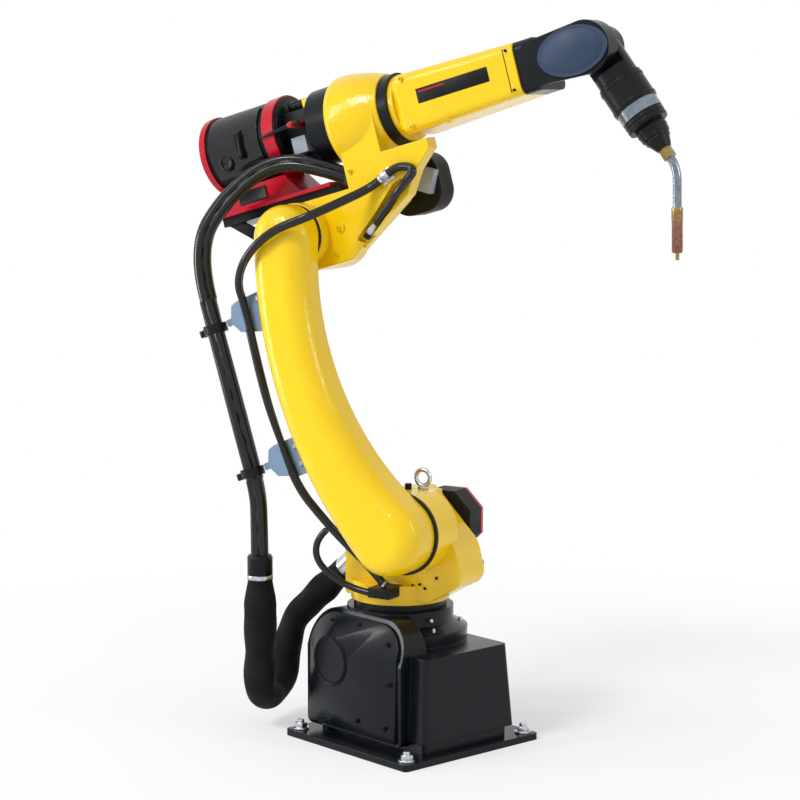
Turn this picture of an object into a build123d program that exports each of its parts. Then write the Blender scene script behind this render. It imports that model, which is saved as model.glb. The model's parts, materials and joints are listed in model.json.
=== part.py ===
from build123d import *
from math import atan2, cos, degrees, radians, sin, sqrt, tan
import os

os.makedirs("parts", exist_ok=True)

# Pose of the joints at rest, in degrees
REST_TURN = 17.4
REST_LEAN = 23.7
REST_LIFT = 15.6
REST_WRIST = -53.0

# Lengths between the joint axes
SHOULDER_FORWARD = 75
SHOULDER_RISE = 156.7
ARM_LENGTH = 640
ELBOW_RISE = 195
FOREARM_REACH = 700
WRIST_TO_FLANGE = 80

# Clearances
RUNNING_GAP = 0.3
SEAT_GAP = 0.2

# Base plate
PLATE_LENGTH = 374
PLATE_WIDTH = 368
PLATE_THICK = 14
PLATE_FRONT = 222
PLATE_CORNER = 8
ANCHOR_INSET = 23
ANCHOR_HOLE = 18

# Base casting
BOX_FRONT = 206
BOX_REAR = 128
BOX_HALF_WIDTH = 118
BOX_LEFT_FOOT = 130
BOX_HEIGHT = 196
BOX_DRAFT = 5
BOX_CORNER = 10
SKIRT_RISE = 24
SKIRT_INSET = 5
SIDE_FRONT = 158
SIDE_REAR = 132
SIDE_REACH = 140
SIDE_INNER = 70
SIDE_BOTTOM = 26
SIDE_CREASE = 190
SIDE_CREST = 274
SIDE_CREST_INSET = 28
SIDE_SHOULDER = 70
SIDE_FOOT = 12

# Cover on the base's side
COVER_THICK = 10
COVER_MARGIN = 8
COVER_BLANK_RADIUS = 46
COVER_BLANK_THICK = 4
COVER_BLANK_BACK = 45
COVER_BLANK_HEIGHT = 172

# Turning ring
LOWER_RING_RADIUS = 139
LOWER_RING_HEIGHT = 24
UPPER_RING_RADIUS = 110
UPPER_RING_TOP = 278
BEARING_RADIUS = 96
BEARING_HEIGHT = 15

# Turret
TURRET_DRUM_RADIUS = 102
TURRET_DRUM_HEIGHT = 40
TURRET_SKIRT = 8
TURRET_LEFT = 45
TURRET_RIGHT = 66
TURRET_REAR = 92
TURRET_REAR_DROP = 22
TURRET_CHIN_REACH = 104
TURRET_NOSE_REACH = 184
TURRET_NOSE_DROP = 105
TURRET_BROW_REACH = 166
TURRET_BROW_DROP = 30
TURRET_TOP = 78
TURRET_TOP_FRONT = 64
TURRET_TOP_REAR = 20
TURRET_TOP_PAD = 104
TURRET_PAD_LEFT = 8
TURRET_EDGE = 16
TURRET_TURNS = [8, 20, 30, 60, 20, 40, 30]
SHOULDER_BOSS_RADIUS = 84
SHOULDER_BOSS_START = 40
SHOULDER_SEAL_RADIUS = 84
SHOULDER_SEAL_THICK = 6

# Lower arm
ARM_INNER = 124
ARM_THICK = 90
ARM_THICK_TOP = 68
ARM_SHOULDER_RADIUS = 78
ARM_ELBOW_RADIUS = 65
ARM_REAR_CURVE = 943
ARM_FRONT_CURVE = 599
ARM_EDGE = 42

# Shoulder motor
MOTOR_ACROSS = 128
MOTOR_LENGTH = 47
MOTOR_CAP = 8

# Elbow casting
ELBOW_RIGHT = 82
ELBOW_LEFT = 62
ELBOW_HUB_RADIUS = 76
ELBOW_SHELF = 64
ELBOW_HEEL = 100
ELBOW_WEB_FRONT = 185
ELBOW_WEB_FOOT = 20
ELBOW_WEB_HEEL = (50, -54)
ELBOW_WEB_TOP = 118
NECK_REAR = 133
NECK_FRONT = 225
NECK_UNDERSIDE = 148
ELBOW_SEAL_RADIUS = 67
PLATE_INNER = 50
PLATE_TOP = 116
PLATE_NOSE = 335
PLATE_NOSE_HEIGHT = 20
PLATE_NOTCH = (294, 62)
PLATE_KNEE = (262, 18)
PLATE_SHIN = (206, -14)
RECESS_DEPTH = 14
RECESS_CORNER = 5
RECESS_LOW = 122
RECESS_LOW_HEIGHT = -40
RECESS_FOOT = (144, -52)
RECESS_FRONT = (253, 24)
RECESS_TOP = (262, 56)
RECESS_REAR = (236, 48)
RECESS_BEND = (182, 4)
SCREW_BOSS = (94, -7)
SCREW_BOSS_RADIUS = 9
SCREW_BOSS_HEIGHT = 3
BARREL_REAR = 116
BARREL_SHOULDER = 18
BARREL_RADIUS = 101
BARREL_FRONT = 235
BARREL_FRONT_RADIUS = 77
BARREL_SWELL = 5
ROLL_RING_RADIUS = 74
ROLL_RING_THICK = 22
REAR_COVER_LENGTH = 52
REAR_COVER_RADIUS = 78
REAR_COVER_RISE = 12

# Elbow motor
ELBOW_MOTOR_FORWARD = 198
ELBOW_MOTOR_RISE = 50
ELBOW_MOTOR_WIDTH = 122
ELBOW_MOTOR_HEIGHT = 122
ELBOW_MOTOR_CORNER = 44
ELBOW_MOTOR_LENGTH = 52
SOCKET_FORWARD = 237
SOCKET_RISE = 50
SOCKET_LENGTH = 50
SOCKET_WIDTH = 32
SOCKET_THICK = 18
SOCKET_TILT = 62

# Forearm
FOREARM_RIM_RADIUS = 68
FOREARM_RIM_THICK = 12
FOREARM_NECK = 14
FOREARM_HALF_WIDTH = 66
FOREARM_HALF_HEIGHT = 61
FOREARM_END_HALF_WIDTH = 62
FOREARM_END_HALF_HEIGHT = 52
FOREARM_EDGE = 18

# Wrist
FORK_LENGTH = 148
FORK_ROOT = 36
FORK_RADIUS = 52
FORK_INNER = 18
FORK_OUTER = 58
FORK_SKIN = 50
FORK_RIB = [(130, 43), (96, 40), (78, 24), (62, 16), (0, 16)]
FORK_COVER_LENGTH = 150
FORK_COVER_HEIGHT = 94
FORK_COVER_THICK = 6
FORK_COVER_SHIFT = 24
WRIST_HUB_RADIUS = 42
WRIST_LEFT = 32
WRIST_GAP = 1.0
WRIST_NECK_RADIUS = 41.5
WRIST_NECK_CUT = 58

# Tool flange and torch
FLANGE_RADIUS = 45
FLANGE_LENGTH = 60
CLAMP_RING_RADIUS = 43
CLAMP_RING_LENGTH = 22
TORCH_DISC_RADIUS = 41
TORCH_DISC_LENGTH = 22
TORCH_BODY_RADIUS = 30
TORCH_BODY_LENGTH = 20
TORCH_CONE_LENGTH = 34
TORCH_CONE_TIP = 15
NUT_RADIUS = 13
NUT_LENGTH = 22
TORCH_NECK_RADIUS = 8.5
TORCH_NECK_BEND = 36
TORCH_NECK_CURVE = 70
TORCH_NECK_STRAIGHT = 52
NOZZLE_RADIUS = 12
NOZZLE_LENGTH = 86
NOZZLE_WALL = 3
NOZZLE_MOUTH = 12
TIP_RADIUS = 4
TIP_LENGTH = 14

# Wire feeder
FEEDER_SHELF_THICK = 18
FEEDER_SHELF_REAR = 205
FEEDER_SHELF_FRONT = 96
FEEDER_HALF_WIDTH = 52
TRAY_THICK = 8
TRAY_OVERHANG = 14
PLINTH_HEIGHT = 44
PLINTH_HALF_WIDTH = 46
PLINTH_SLOPE = 70
FEEDER_RADIUS = 80
FEEDER_RISE = 212
FEEDER_REAR = 188
FEEDER_BAND_REAR = 40
FEEDER_BAND_THICK = 28
FEEDER_BAND_RADIUS = 84
FEEDER_CAP_THICK = 14
FEEDER_CAP_RADIUS = 84
FEEDER_DOOR_RADIUS = 84
FEEDER_DOOR_MARGIN = 12
FEEDER_DOOR_SWEEP = 96
FEEDER_DOOR_CENTRE = 8
DRIVE_FRONT = 62
DRIVE_HALF = 42
DRIVE_SOCKET_FORWARD = 34
DRIVE_SOCKET_RISE = 180
DRIVE_SOCKET_SIZE = 34
DRIVE_SOCKET_THICK = 26
STRUT_REAR = 195
STRUT_WIDTH = 34
STRUT_FOOT = 60
STRUT_DROP = 46
STRUT_THICK = 12
STRUT_LATERAL = 34

# Cable brackets on the arm
BRACKET_LATERAL = 142
BRACKET_THICK = 6
UPPER_BRACKET = 530
LOWER_BRACKET = 228
BRACKET_TONGUE = 13
BRACKET_TONGUE_HALF = 7
BRACKET_UPPER_EDGE = [(0, 7), (11, 30), (27, 34)]
BRACKET_LOWER_EDGE = [(60, -44), (12, -28), (0, -7)]
HOSE_LATERAL = 152
HOSE_TOP_BACK = 226
HOSE_LEAN = 44
HOSE_ABOVE = 60
HOSE_BELOW = 16
HOSE_CLAMP_HEIGHT = 18
HOSE_CLAMP_WALL = 6
HOSE_FIT = 0.1

# Turret fittings
CLAMP_BLOCK_START = 0
CLAMP_BLOCK_LENGTH = 52
CLAMP_BLOCK_BASE = 15
CLAMP_BLOCK_HEIGHT = 24
CLAMP_BLOCK_OUTER = 132
CLAMP_BLOCK_MIDDLE = 117
FITTING_RADIUS = 24
FITTING_LENGTH = 58
FITTING_HEIGHT = 376
FITTING_LATERAL = 2
FITTING_SLOPE = 43
FITTING_LEAD = 145
EYE_LATERAL = 36
EYE_RADIUS = 16
EYE_ROD = 4.8
EYE_FOOT_RADIUS = 11
EYE_FOOT_HEIGHT = 8
PLUG_FORWARD = 146
PLUG_DROP = 84
PLUG_RADIUS = 14
PLUG_LENGTH = 22
BREATHER_FORWARD = 50
BREATHER_LATERAL = 52
BREATHER_RADIUS = 7
BREATHER_HEIGHT = 12

# Harness fittings
HARNESS_CLAMP_FORWARD = 226
HARNESS_CLAMP_RISE = 66
HARNESS_CLAMP_LENGTH = 26
HARNESS_CLAMP_WIDTH = 28
HARNESS_CLAMP_THICK = 21
HARNESS_CLAMP_TILT = 21
HARNESS_CLAMP_LEAD = 39
GLAND_RADIUS = 9.5
GLAND_LENGTH = 24
GLAND_START = (154, -33)
GLAND_TILT = 36
GLAND_LEAD = 60

# Cords
HOSE_RADIUS = 19
HARNESS_RADIUS = 9
LOOP_RADIUS = 7
SLEEVE_RADIUS = 31
COLLAR_RADIUS = 27
COLLAR_LENGTH = 54
COLLAR_TOP = (-246, 380)
HOSE_RUN_UP = 110
HOSE_RUN_DOWN = 34
HOSE_COLLAR_RUN = 66
SLEEVE_DROP = 120
HARNESS_SEAT = 6.2
LOOP_SEAT = 1.75
LOOP_LIFT = 6
TURN_SHARE = 0.45

# Frames of the links
turn = radians(REST_TURN)
forward = Vector(cos(turn), sin(turn), 0)
sideways = Vector(sin(turn), -cos(turn), 0)
upward = Vector(0, 0, 1)


def side_plane(origin, angle):
    """Plane of a link seen from the robot's right: x leads at this angle above level."""
    lead = forward * cos(radians(angle)) + upward * sin(radians(angle))
    return Plane(origin=origin, x_dir=lead, z_dir=sideways)


def end_plane(side, x, y, lateral=0):
    """Plane across a link's x direction: its normal is x, its own y is the link's y."""
    return Plane(
        origin=side.from_local_coords((x, y, lateral)),
        x_dir=sideways * -1,
        z_dir=side.x_dir,
    )


def save(builder, label):
    """Labels a finished piece and writes its STEP file."""
    builder.part.label = label
    export_step(builder.part, f"parts/{label}.step")


turret_side = side_plane((0, 0, 0), 0)
turret_floor = UPPER_RING_TOP + BEARING_HEIGHT + RUNNING_GAP
shoulder_height = turret_floor + SHOULDER_RISE
shoulder = forward * SHOULDER_FORWARD + upward * shoulder_height
arm_side = side_plane(shoulder, REST_LEAN)
elbow = Vector(*arm_side.from_local_coords((0, ARM_LENGTH, 0)))
elbow_side = side_plane(elbow, REST_LIFT)
wrist = Vector(*elbow_side.from_local_coords((FOREARM_REACH, ELBOW_RISE, 0)))
wrist_side = side_plane(wrist, REST_WRIST)

# Base plate
plate_rear = PLATE_FRONT - PLATE_LENGTH
plate_middle = (PLATE_FRONT + plate_rear) / 2

with BuildPart() as base_plate:
    with BuildSketch(Plane.XY):
        with Locations((plate_middle, 0)):
            RectangleRounded(PLATE_LENGTH, PLATE_WIDTH, PLATE_CORNER)
            with GridLocations(PLATE_LENGTH - 2 * ANCHOR_INSET, PLATE_WIDTH - 2 * ANCHOR_INSET, 2, 2):
                Circle(ANCHOR_HOLE / 2, mode=Mode.SUBTRACT)
    extrude(amount=PLATE_THICK)
save(base_plate, "base_plate")

# Base casting
box_length = BOX_FRONT + BOX_REAR
box_middle = (BOX_FRONT - BOX_REAR) / 2
box_top = PLATE_THICK + BOX_HEIGHT
upper_ring_base = box_top + LOWER_RING_HEIGHT + (LOWER_RING_RADIUS - UPPER_RING_RADIUS) / 2


def side_outline(margin):
    """Returns the rounded outline of the base's side, pulled in by this margin."""
    front = SIDE_FRONT - margin
    rear = -SIDE_REAR + margin
    bottom = SIDE_BOTTOM + margin
    top = SIDE_CREST - margin
    with BuildLine() as outline:
        FilletPolyline(
            (rear, bottom),
            (front, bottom),
            (front, top),
            (rear, top),
            radius=[SIDE_FOOT, SIDE_FOOT, SIDE_SHOULDER, SIDE_SHOULDER],
            close=True,
        )
    return outline.edges()


with BuildPart() as base_casting:
    with BuildSketch(Plane.XY.offset(PLATE_THICK)):
        with Locations((box_middle, 0)):
            RectangleRounded(box_length - 2 * SKIRT_INSET, 2 * BOX_HALF_WIDTH - 2 * SKIRT_INSET, BOX_CORNER)
    extrude(amount=SKIRT_RISE)
    with BuildSketch(Plane.XY.offset(PLATE_THICK + SKIRT_RISE)):
        with Locations((box_middle, (BOX_LEFT_FOOT - BOX_HALF_WIDTH) / 2)):
            RectangleRounded(box_length, BOX_HALF_WIDTH + BOX_LEFT_FOOT, BOX_CORNER)
    with BuildSketch(Plane.XY.offset(box_top)):
        with Locations((box_middle, 0)):
            RectangleRounded(box_length - 2 * BOX_DRAFT, 2 * BOX_HALF_WIDTH - 2 * BOX_DRAFT, BOX_CORNER)
    loft()
    with BuildSketch(Plane.XZ):
        with BuildLine():
            Polyline(
                (0, PLATE_THICK + SKIRT_RISE),
                (LOWER_RING_RADIUS - SKIRT_RISE, PLATE_THICK + SKIRT_RISE),
                (LOWER_RING_RADIUS, box_top),
                (LOWER_RING_RADIUS, box_top + LOWER_RING_HEIGHT),
                (UPPER_RING_RADIUS, upper_ring_base),
                (UPPER_RING_RADIUS, UPPER_RING_TOP),
                (0, UPPER_RING_TOP),
                close=True,
            )
        make_face()
    revolve(axis=Axis.Z)
    with BuildSketch(Plane.XZ.offset(SIDE_INNER)):
        make_face(side_outline(0))
    extrude(amount=SIDE_REACH - SIDE_INNER)
    with BuildSketch(Plane.YZ.offset(-SIDE_REAR)):
        with BuildLine():
            Polyline(
                (-SIDE_REACH, SIDE_CREASE),
                (-SIDE_REACH, SIDE_CREST),
                (-SIDE_REACH + SIDE_CREST_INSET, SIDE_CREST),
                close=True,
            )
        make_face()
    extrude(amount=SIDE_REAR + SIDE_FRONT, mode=Mode.SUBTRACT)
    with BuildSketch(Plane.XY.offset(PLATE_THICK)):
        with Locations((plate_middle, 0)):
            with GridLocations(PLATE_LENGTH - 2 * ANCHOR_INSET, PLATE_WIDTH - 2 * ANCHOR_INSET, 2, 2):
                Circle(ANCHOR_HOLE)
    extrude(amount=SIDE_CREST, mode=Mode.SUBTRACT)
save(base_casting, "base_casting")

with BuildPart() as base_side_cover:
    with BuildSketch(Plane.XZ.offset(SIDE_INNER)):
        make_face(side_outline(COVER_MARGIN))
    extrude(amount=SIDE_REACH + COVER_THICK - SIDE_INNER)
    with BuildSketch(Plane.YZ.offset(-SIDE_REAR)):
        with BuildLine():
            Polyline(
                (-SIDE_REACH - COVER_THICK, 0),
                (-SIDE_REACH - COVER_THICK, SIDE_CREASE),
                (-SIDE_REACH - COVER_THICK + SIDE_CREST_INSET, SIDE_CREST),
                (-SIDE_REACH + SIDE_CREST_INSET, SIDE_CREST),
                (-SIDE_REACH, SIDE_CREASE),
                (-SIDE_REACH, 0),
                close=True,
            )
        make_face()
    extrude(amount=SIDE_REAR + SIDE_FRONT, mode=Mode.INTERSECT)
    with BuildSketch(Plane.XY.offset(PLATE_THICK)):
        with Locations((plate_middle, 0)):
            with GridLocations(PLATE_LENGTH - 2 * ANCHOR_INSET, PLATE_WIDTH - 2 * ANCHOR_INSET, 2, 2):
                Circle(ANCHOR_HOLE)
    extrude(amount=SIDE_CREST, mode=Mode.SUBTRACT)
    with BuildSketch(Plane.XZ.offset(SIDE_INNER)):
        with Locations((-COVER_BLANK_BACK, COVER_BLANK_HEIGHT)):
            Circle(COVER_BLANK_RADIUS)
    extrude(amount=SIDE_REACH + COVER_THICK - SIDE_INNER, mode=Mode.SUBTRACT)
save(base_side_cover, "base_side_cover")

with BuildPart() as base_cover_blank:
    with BuildSketch(Plane.XZ.offset(SIDE_REACH - SIDE_CREST_INSET)):
        with Locations((-COVER_BLANK_BACK, COVER_BLANK_HEIGHT)):
            Circle(COVER_BLANK_RADIUS)
    extrude(amount=SIDE_CREST_INSET + COVER_THICK + COVER_BLANK_THICK)
    add(base_casting.part, mode=Mode.SUBTRACT)
save(base_cover_blank, "base_cover_blank")

with BuildPart() as turn_bearing:
    with BuildSketch(Plane.XY.offset(UPPER_RING_TOP)):
        Circle(BEARING_RADIUS)
    extrude(amount=BEARING_HEIGHT)
save(turn_bearing, "turn_bearing")

# Turret
turret_top = shoulder_height + TURRET_TOP
seal_inner = ARM_INNER - RUNNING_GAP - SHOULDER_SEAL_THICK

with BuildPart() as turret_casting:
    with BuildSketch(turret_side.offset(-TURRET_LEFT)):
        with BuildLine():
            FilletPolyline(
                (-TURRET_REAR, turret_floor + TURRET_SKIRT),
                (TURRET_CHIN_REACH, turret_floor + TURRET_SKIRT),
                (TURRET_NOSE_REACH, shoulder_height - TURRET_NOSE_DROP),
                (TURRET_BROW_REACH, shoulder_height - TURRET_BROW_DROP),
                (TURRET_TOP_FRONT, turret_top),
                (TURRET_TOP_REAR, turret_top),
                (-TURRET_REAR, shoulder_height - TURRET_REAR_DROP),
                radius=TURRET_TURNS,
                close=True,
            )
        make_face()
    extrude(amount=TURRET_LEFT + TURRET_RIGHT)
    fillet(turret_casting.faces().sort_by(Axis((0, 0, 0), sideways))[0].edges(), TURRET_EDGE)
    with BuildSketch(Plane.XY.offset(turret_floor)):
        Circle(TURRET_DRUM_RADIUS)
    extrude(amount=TURRET_DRUM_HEIGHT)
    with BuildSketch(turret_side.offset(SHOULDER_BOSS_START)):
        with Locations((SHOULDER_FORWARD, shoulder_height)):
            Circle(SHOULDER_BOSS_RADIUS)
            with Locations((0, TURRET_TOP + SHOULDER_BOSS_RADIUS)):
                Rectangle(2 * SHOULDER_BOSS_RADIUS, 2 * SHOULDER_BOSS_RADIUS, mode=Mode.SUBTRACT)
    extrude(amount=seal_inner - SHOULDER_BOSS_START)
    with BuildSketch(turret_side.offset(TURRET_PAD_LEFT)):
        with BuildLine():
            Polyline(
                (TURRET_TOP_REAR, turret_top),
                (TURRET_TOP_PAD, turret_top),
                (TURRET_TOP_PAD, shoulder_height),
                (TURRET_TOP_REAR, shoulder_height),
                close=True,
            )
        make_face()
    extrude(amount=TURRET_RIGHT - TURRET_PAD_LEFT)
save(turret_casting, "turret_casting")

with BuildPart() as shoulder_seal:
    with BuildSketch(arm_side.offset(seal_inner)):
        Circle(SHOULDER_SEAL_RADIUS)
    extrude(amount=SHOULDER_SEAL_THICK)
save(shoulder_seal, "shoulder_seal")

with BuildPart() as shoulder_motor:
    with BuildSketch(turret_side.offset(-TURRET_LEFT)):
        with Locations((SHOULDER_FORWARD, shoulder_height)):
            RegularPolygon(MOTOR_ACROSS / 2, 8, major_radius=False, rotation=180 / 8)
    extrude(amount=-MOTOR_LENGTH)
save(shoulder_motor, "shoulder_motor")

with BuildPart() as shoulder_motor_cap:
    with BuildSketch(turret_side.offset(-TURRET_LEFT - MOTOR_LENGTH)):
        with Locations((SHOULDER_FORWARD, shoulder_height)):
            RegularPolygon(MOTOR_ACROSS / 2, 8, major_radius=False, rotation=180 / 8)
    extrude(amount=-MOTOR_CAP)
save(shoulder_motor_cap, "shoulder_motor_cap")


def circle_crossing(first, first_radius, second, second_radius, side):
    """Returns where two circles cross, on this side of the line between their centres."""
    across = Vector(*second) - Vector(*first)
    distance = across.length
    along = (distance**2 + first_radius**2 - second_radius**2) / (2 * distance)
    offset = sqrt(first_radius**2 - along**2)
    unit = across.normalized()
    return Vector(*first) + unit * along + Vector(unit.Y, -unit.X) * offset * side


# Lower arm
def arm_outline():
    """Returns the curved arm's outline: two round ends, a hollow front and a full rear arc."""
    low = Vector(0, 0)
    high = Vector(0, ARM_LENGTH)
    rear_centre = circle_crossing(
        low, ARM_REAR_CURVE - ARM_SHOULDER_RADIUS, high, ARM_REAR_CURVE - ARM_ELBOW_RADIUS, 1
    )
    front_centre = circle_crossing(
        low, ARM_FRONT_CURVE + ARM_SHOULDER_RADIUS, high, ARM_FRONT_CURVE + ARM_ELBOW_RADIUS, 1
    )
    rear_low = low + (low - rear_centre).normalized() * ARM_SHOULDER_RADIUS
    rear_high = high + (high - rear_centre).normalized() * ARM_ELBOW_RADIUS
    front_low = low + (front_centre - low).normalized() * ARM_SHOULDER_RADIUS
    front_high = high + (front_centre - high).normalized() * ARM_ELBOW_RADIUS
    with BuildLine() as outline:
        ThreePointArc(rear_high, rear_centre - Vector(ARM_REAR_CURVE, 0), rear_low)
        ThreePointArc(rear_low, low - Vector(0, ARM_SHOULDER_RADIUS), front_low)
        ThreePointArc(front_low, front_centre - Vector(ARM_FRONT_CURVE, 0), front_high)
        ThreePointArc(front_high, high + Vector(0, ARM_ELBOW_RADIUS), rear_high)
    return outline.edges()


arm_slope = degrees(atan2(ARM_THICK - ARM_THICK_TOP, ARM_LENGTH))
arm_cap = Plane(
    origin=arm_side.from_local_coords((0, 0, ARM_INNER + ARM_THICK)),
    x_dir=arm_side.x_dir,
    z_dir=sideways * cos(radians(arm_slope)) + arm_side.y_dir * sin(radians(arm_slope)),
)

with BuildPart() as lower_arm:
    with BuildSketch(arm_side.offset(ARM_INNER)):
        make_face(arm_outline())
    extrude(amount=ARM_THICK + ARM_THICK_TOP)
    split(bisect_by=arm_cap, keep=Keep.BOTTOM)
    fillet(lower_arm.faces().sort_by(Axis(shoulder, sideways))[-1].edges(), ARM_EDGE)
save(lower_arm, "lower_arm")

# Elbow casting
hub_flat = sqrt(ELBOW_HUB_RADIUS**2 - ELBOW_SHELF**2)
shoulder_cut = BARREL_SHOULDER * (1 - cos(radians(45)))

with BuildPart() as elbow_casting:
    with BuildSketch(elbow_side.offset(-ELBOW_LEFT)):
        with BuildLine():
            Polyline(
                (0, 0),
                (-hub_flat, ELBOW_SHELF),
                (NECK_REAR, ELBOW_SHELF),
                (NECK_REAR, ELBOW_RISE),
                (NECK_FRONT, ELBOW_RISE),
                (NECK_FRONT, NECK_UNDERSIDE),
                (ELBOW_WEB_FRONT, ELBOW_WEB_TOP),
                (ELBOW_WEB_FRONT, ELBOW_WEB_FOOT),
                ELBOW_WEB_HEEL,
                close=True,
            )
        make_face()
        with BuildLine():
            ThreePointArc((-hub_flat, ELBOW_SHELF), (0, -ELBOW_HUB_RADIUS), (hub_flat, ELBOW_SHELF))
            Line((hub_flat, ELBOW_SHELF), (-hub_flat, ELBOW_SHELF))
        make_face()
    extrude(amount=ELBOW_LEFT + ELBOW_RIGHT)
    with BuildSketch(elbow_side.offset(PLATE_INNER)):
        with BuildLine():
            Polyline(
                (0, -ELBOW_HUB_RADIUS),
                (ELBOW_HEEL, -ELBOW_HUB_RADIUS),
                PLATE_SHIN,
                PLATE_KNEE,
                PLATE_NOTCH,
                (PLATE_NOSE, PLATE_TOP - PLATE_NOSE_HEIGHT),
                (PLATE_NOSE, PLATE_TOP),
                (NECK_FRONT, PLATE_TOP),
                (NECK_FRONT, ELBOW_RISE),
                (NECK_REAR, ELBOW_RISE),
                (NECK_REAR, 0),
                (0, 0),
                close=True,
            )
        make_face()
    extrude(amount=ELBOW_RIGHT - PLATE_INNER)
    with BuildSketch(elbow_side):
        with BuildLine():
            Line(
                (BARREL_REAR, ELBOW_RISE),
                (BARREL_REAR, ELBOW_RISE + BARREL_RADIUS - BARREL_SHOULDER),
            )
            ThreePointArc(
                (BARREL_REAR, ELBOW_RISE + BARREL_RADIUS - BARREL_SHOULDER),
                (BARREL_REAR + shoulder_cut, ELBOW_RISE + BARREL_RADIUS - shoulder_cut),
                (BARREL_REAR + BARREL_SHOULDER, ELBOW_RISE + BARREL_RADIUS),
            )
            ThreePointArc(
                (BARREL_REAR + BARREL_SHOULDER, ELBOW_RISE + BARREL_RADIUS),
                (
                    (BARREL_REAR + BARREL_SHOULDER + BARREL_FRONT) / 2,
                    ELBOW_RISE + (BARREL_RADIUS + BARREL_FRONT_RADIUS) / 2 + BARREL_SWELL,
                ),
                (BARREL_FRONT, ELBOW_RISE + BARREL_FRONT_RADIUS),
            )
            Polyline(
                (BARREL_FRONT, ELBOW_RISE + BARREL_FRONT_RADIUS),
                (BARREL_FRONT, ELBOW_RISE),
                (BARREL_REAR, ELBOW_RISE),
            )
        make_face()
    revolve(axis=Axis(elbow_side.from_local_coords((0, ELBOW_RISE, 0)), elbow_side.x_dir))
    with BuildSketch(elbow_side.offset(ELBOW_RIGHT - RECESS_DEPTH)):
        with BuildLine():
            FilletPolyline(
                (RECESS_LOW, RECESS_LOW_HEIGHT),
                RECESS_FOOT,
                RECESS_FRONT,
                RECESS_TOP,
                RECESS_REAR,
                RECESS_BEND,
                radius=RECESS_CORNER,
                close=True,
            )
        make_face()
    extrude(amount=RECESS_DEPTH, mode=Mode.SUBTRACT)
    with BuildSketch(elbow_side.offset(ELBOW_RIGHT)):
        with Locations(SCREW_BOSS):
            Circle(SCREW_BOSS_RADIUS)
    extrude(amount=SCREW_BOSS_HEIGHT)
save(elbow_casting, "elbow_casting")

with BuildPart() as elbow_motor:
    with BuildSketch(elbow_side.offset(-ELBOW_LEFT)):
        with Locations((ELBOW_MOTOR_FORWARD, ELBOW_MOTOR_RISE)):
            RectangleRounded(ELBOW_MOTOR_WIDTH, ELBOW_MOTOR_HEIGHT, ELBOW_MOTOR_CORNER)
    extrude(amount=-ELBOW_MOTOR_LENGTH)
save(elbow_motor, "elbow_motor")

with BuildPart() as elbow_motor_socket:
    with BuildSketch(elbow_side.offset(-ELBOW_LEFT)):
        with Locations((SOCKET_FORWARD, SOCKET_RISE)):
            Rectangle(SOCKET_LENGTH, SOCKET_WIDTH, rotation=SOCKET_TILT)
    extrude(amount=SOCKET_THICK)
save(elbow_motor_socket, "elbow_motor_socket")

with BuildPart() as elbow_seal:
    with BuildSketch(elbow_side.offset(ELBOW_RIGHT)):
        Circle(ELBOW_SEAL_RADIUS)
    extrude(amount=ARM_INNER - RUNNING_GAP - ELBOW_RIGHT)
save(elbow_seal, "elbow_seal")

with BuildPart() as roll_ring:
    with BuildSketch(end_plane(elbow_side, BARREL_FRONT, ELBOW_RISE)):
        Circle(ROLL_RING_RADIUS)
    extrude(amount=ROLL_RING_THICK)
save(roll_ring, "roll_ring")

# Forearm
forearm_start = BARREL_FRONT + ROLL_RING_THICK + RUNNING_GAP
forearm_body_start = forearm_start + FOREARM_RIM_THICK + FOREARM_NECK
forearm_end = FOREARM_REACH - FORK_LENGTH

with BuildPart() as forearm_casting:
    with BuildSketch(end_plane(elbow_side, forearm_start, ELBOW_RISE)):
        Circle(FOREARM_RIM_RADIUS)
    extrude(amount=FOREARM_RIM_THICK)
    with BuildSketch(end_plane(elbow_side, forearm_start, ELBOW_RISE)):
        Circle(FOREARM_HALF_HEIGHT)
    extrude(amount=FOREARM_RIM_THICK + FOREARM_NECK)
    with BuildSketch(end_plane(elbow_side, forearm_start + FOREARM_RIM_THICK, ELBOW_RISE)):
        RectangleRounded(
            2 * FOREARM_HALF_WIDTH - FOREARM_NECK,
            2 * FOREARM_HALF_HEIGHT - FOREARM_NECK,
            FOREARM_EDGE,
        )
    with BuildSketch(end_plane(elbow_side, forearm_body_start, ELBOW_RISE)):
        RectangleRounded(2 * FOREARM_HALF_WIDTH, 2 * FOREARM_HALF_HEIGHT, FOREARM_EDGE)
    loft()
    with BuildSketch(end_plane(elbow_side, forearm_body_start, ELBOW_RISE)):
        RectangleRounded(2 * FOREARM_HALF_WIDTH, 2 * FOREARM_HALF_HEIGHT, FOREARM_EDGE)
    with BuildSketch(end_plane(elbow_side, forearm_end, ELBOW_RISE)):
        RectangleRounded(2 * FOREARM_END_HALF_WIDTH, 2 * FOREARM_END_HALF_HEIGHT, FOREARM_EDGE)
    loft()
save(forearm_casting, "forearm_casting")

fork_root_end = forearm_end + FORK_ROOT


def fork_rib(side):
    """Returns one edge of the fork's inner rib, from its root to the wrist's axis."""
    return [(FOREARM_REACH - back, ELBOW_RISE + side * half) for back, half in FORK_RIB]


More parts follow.
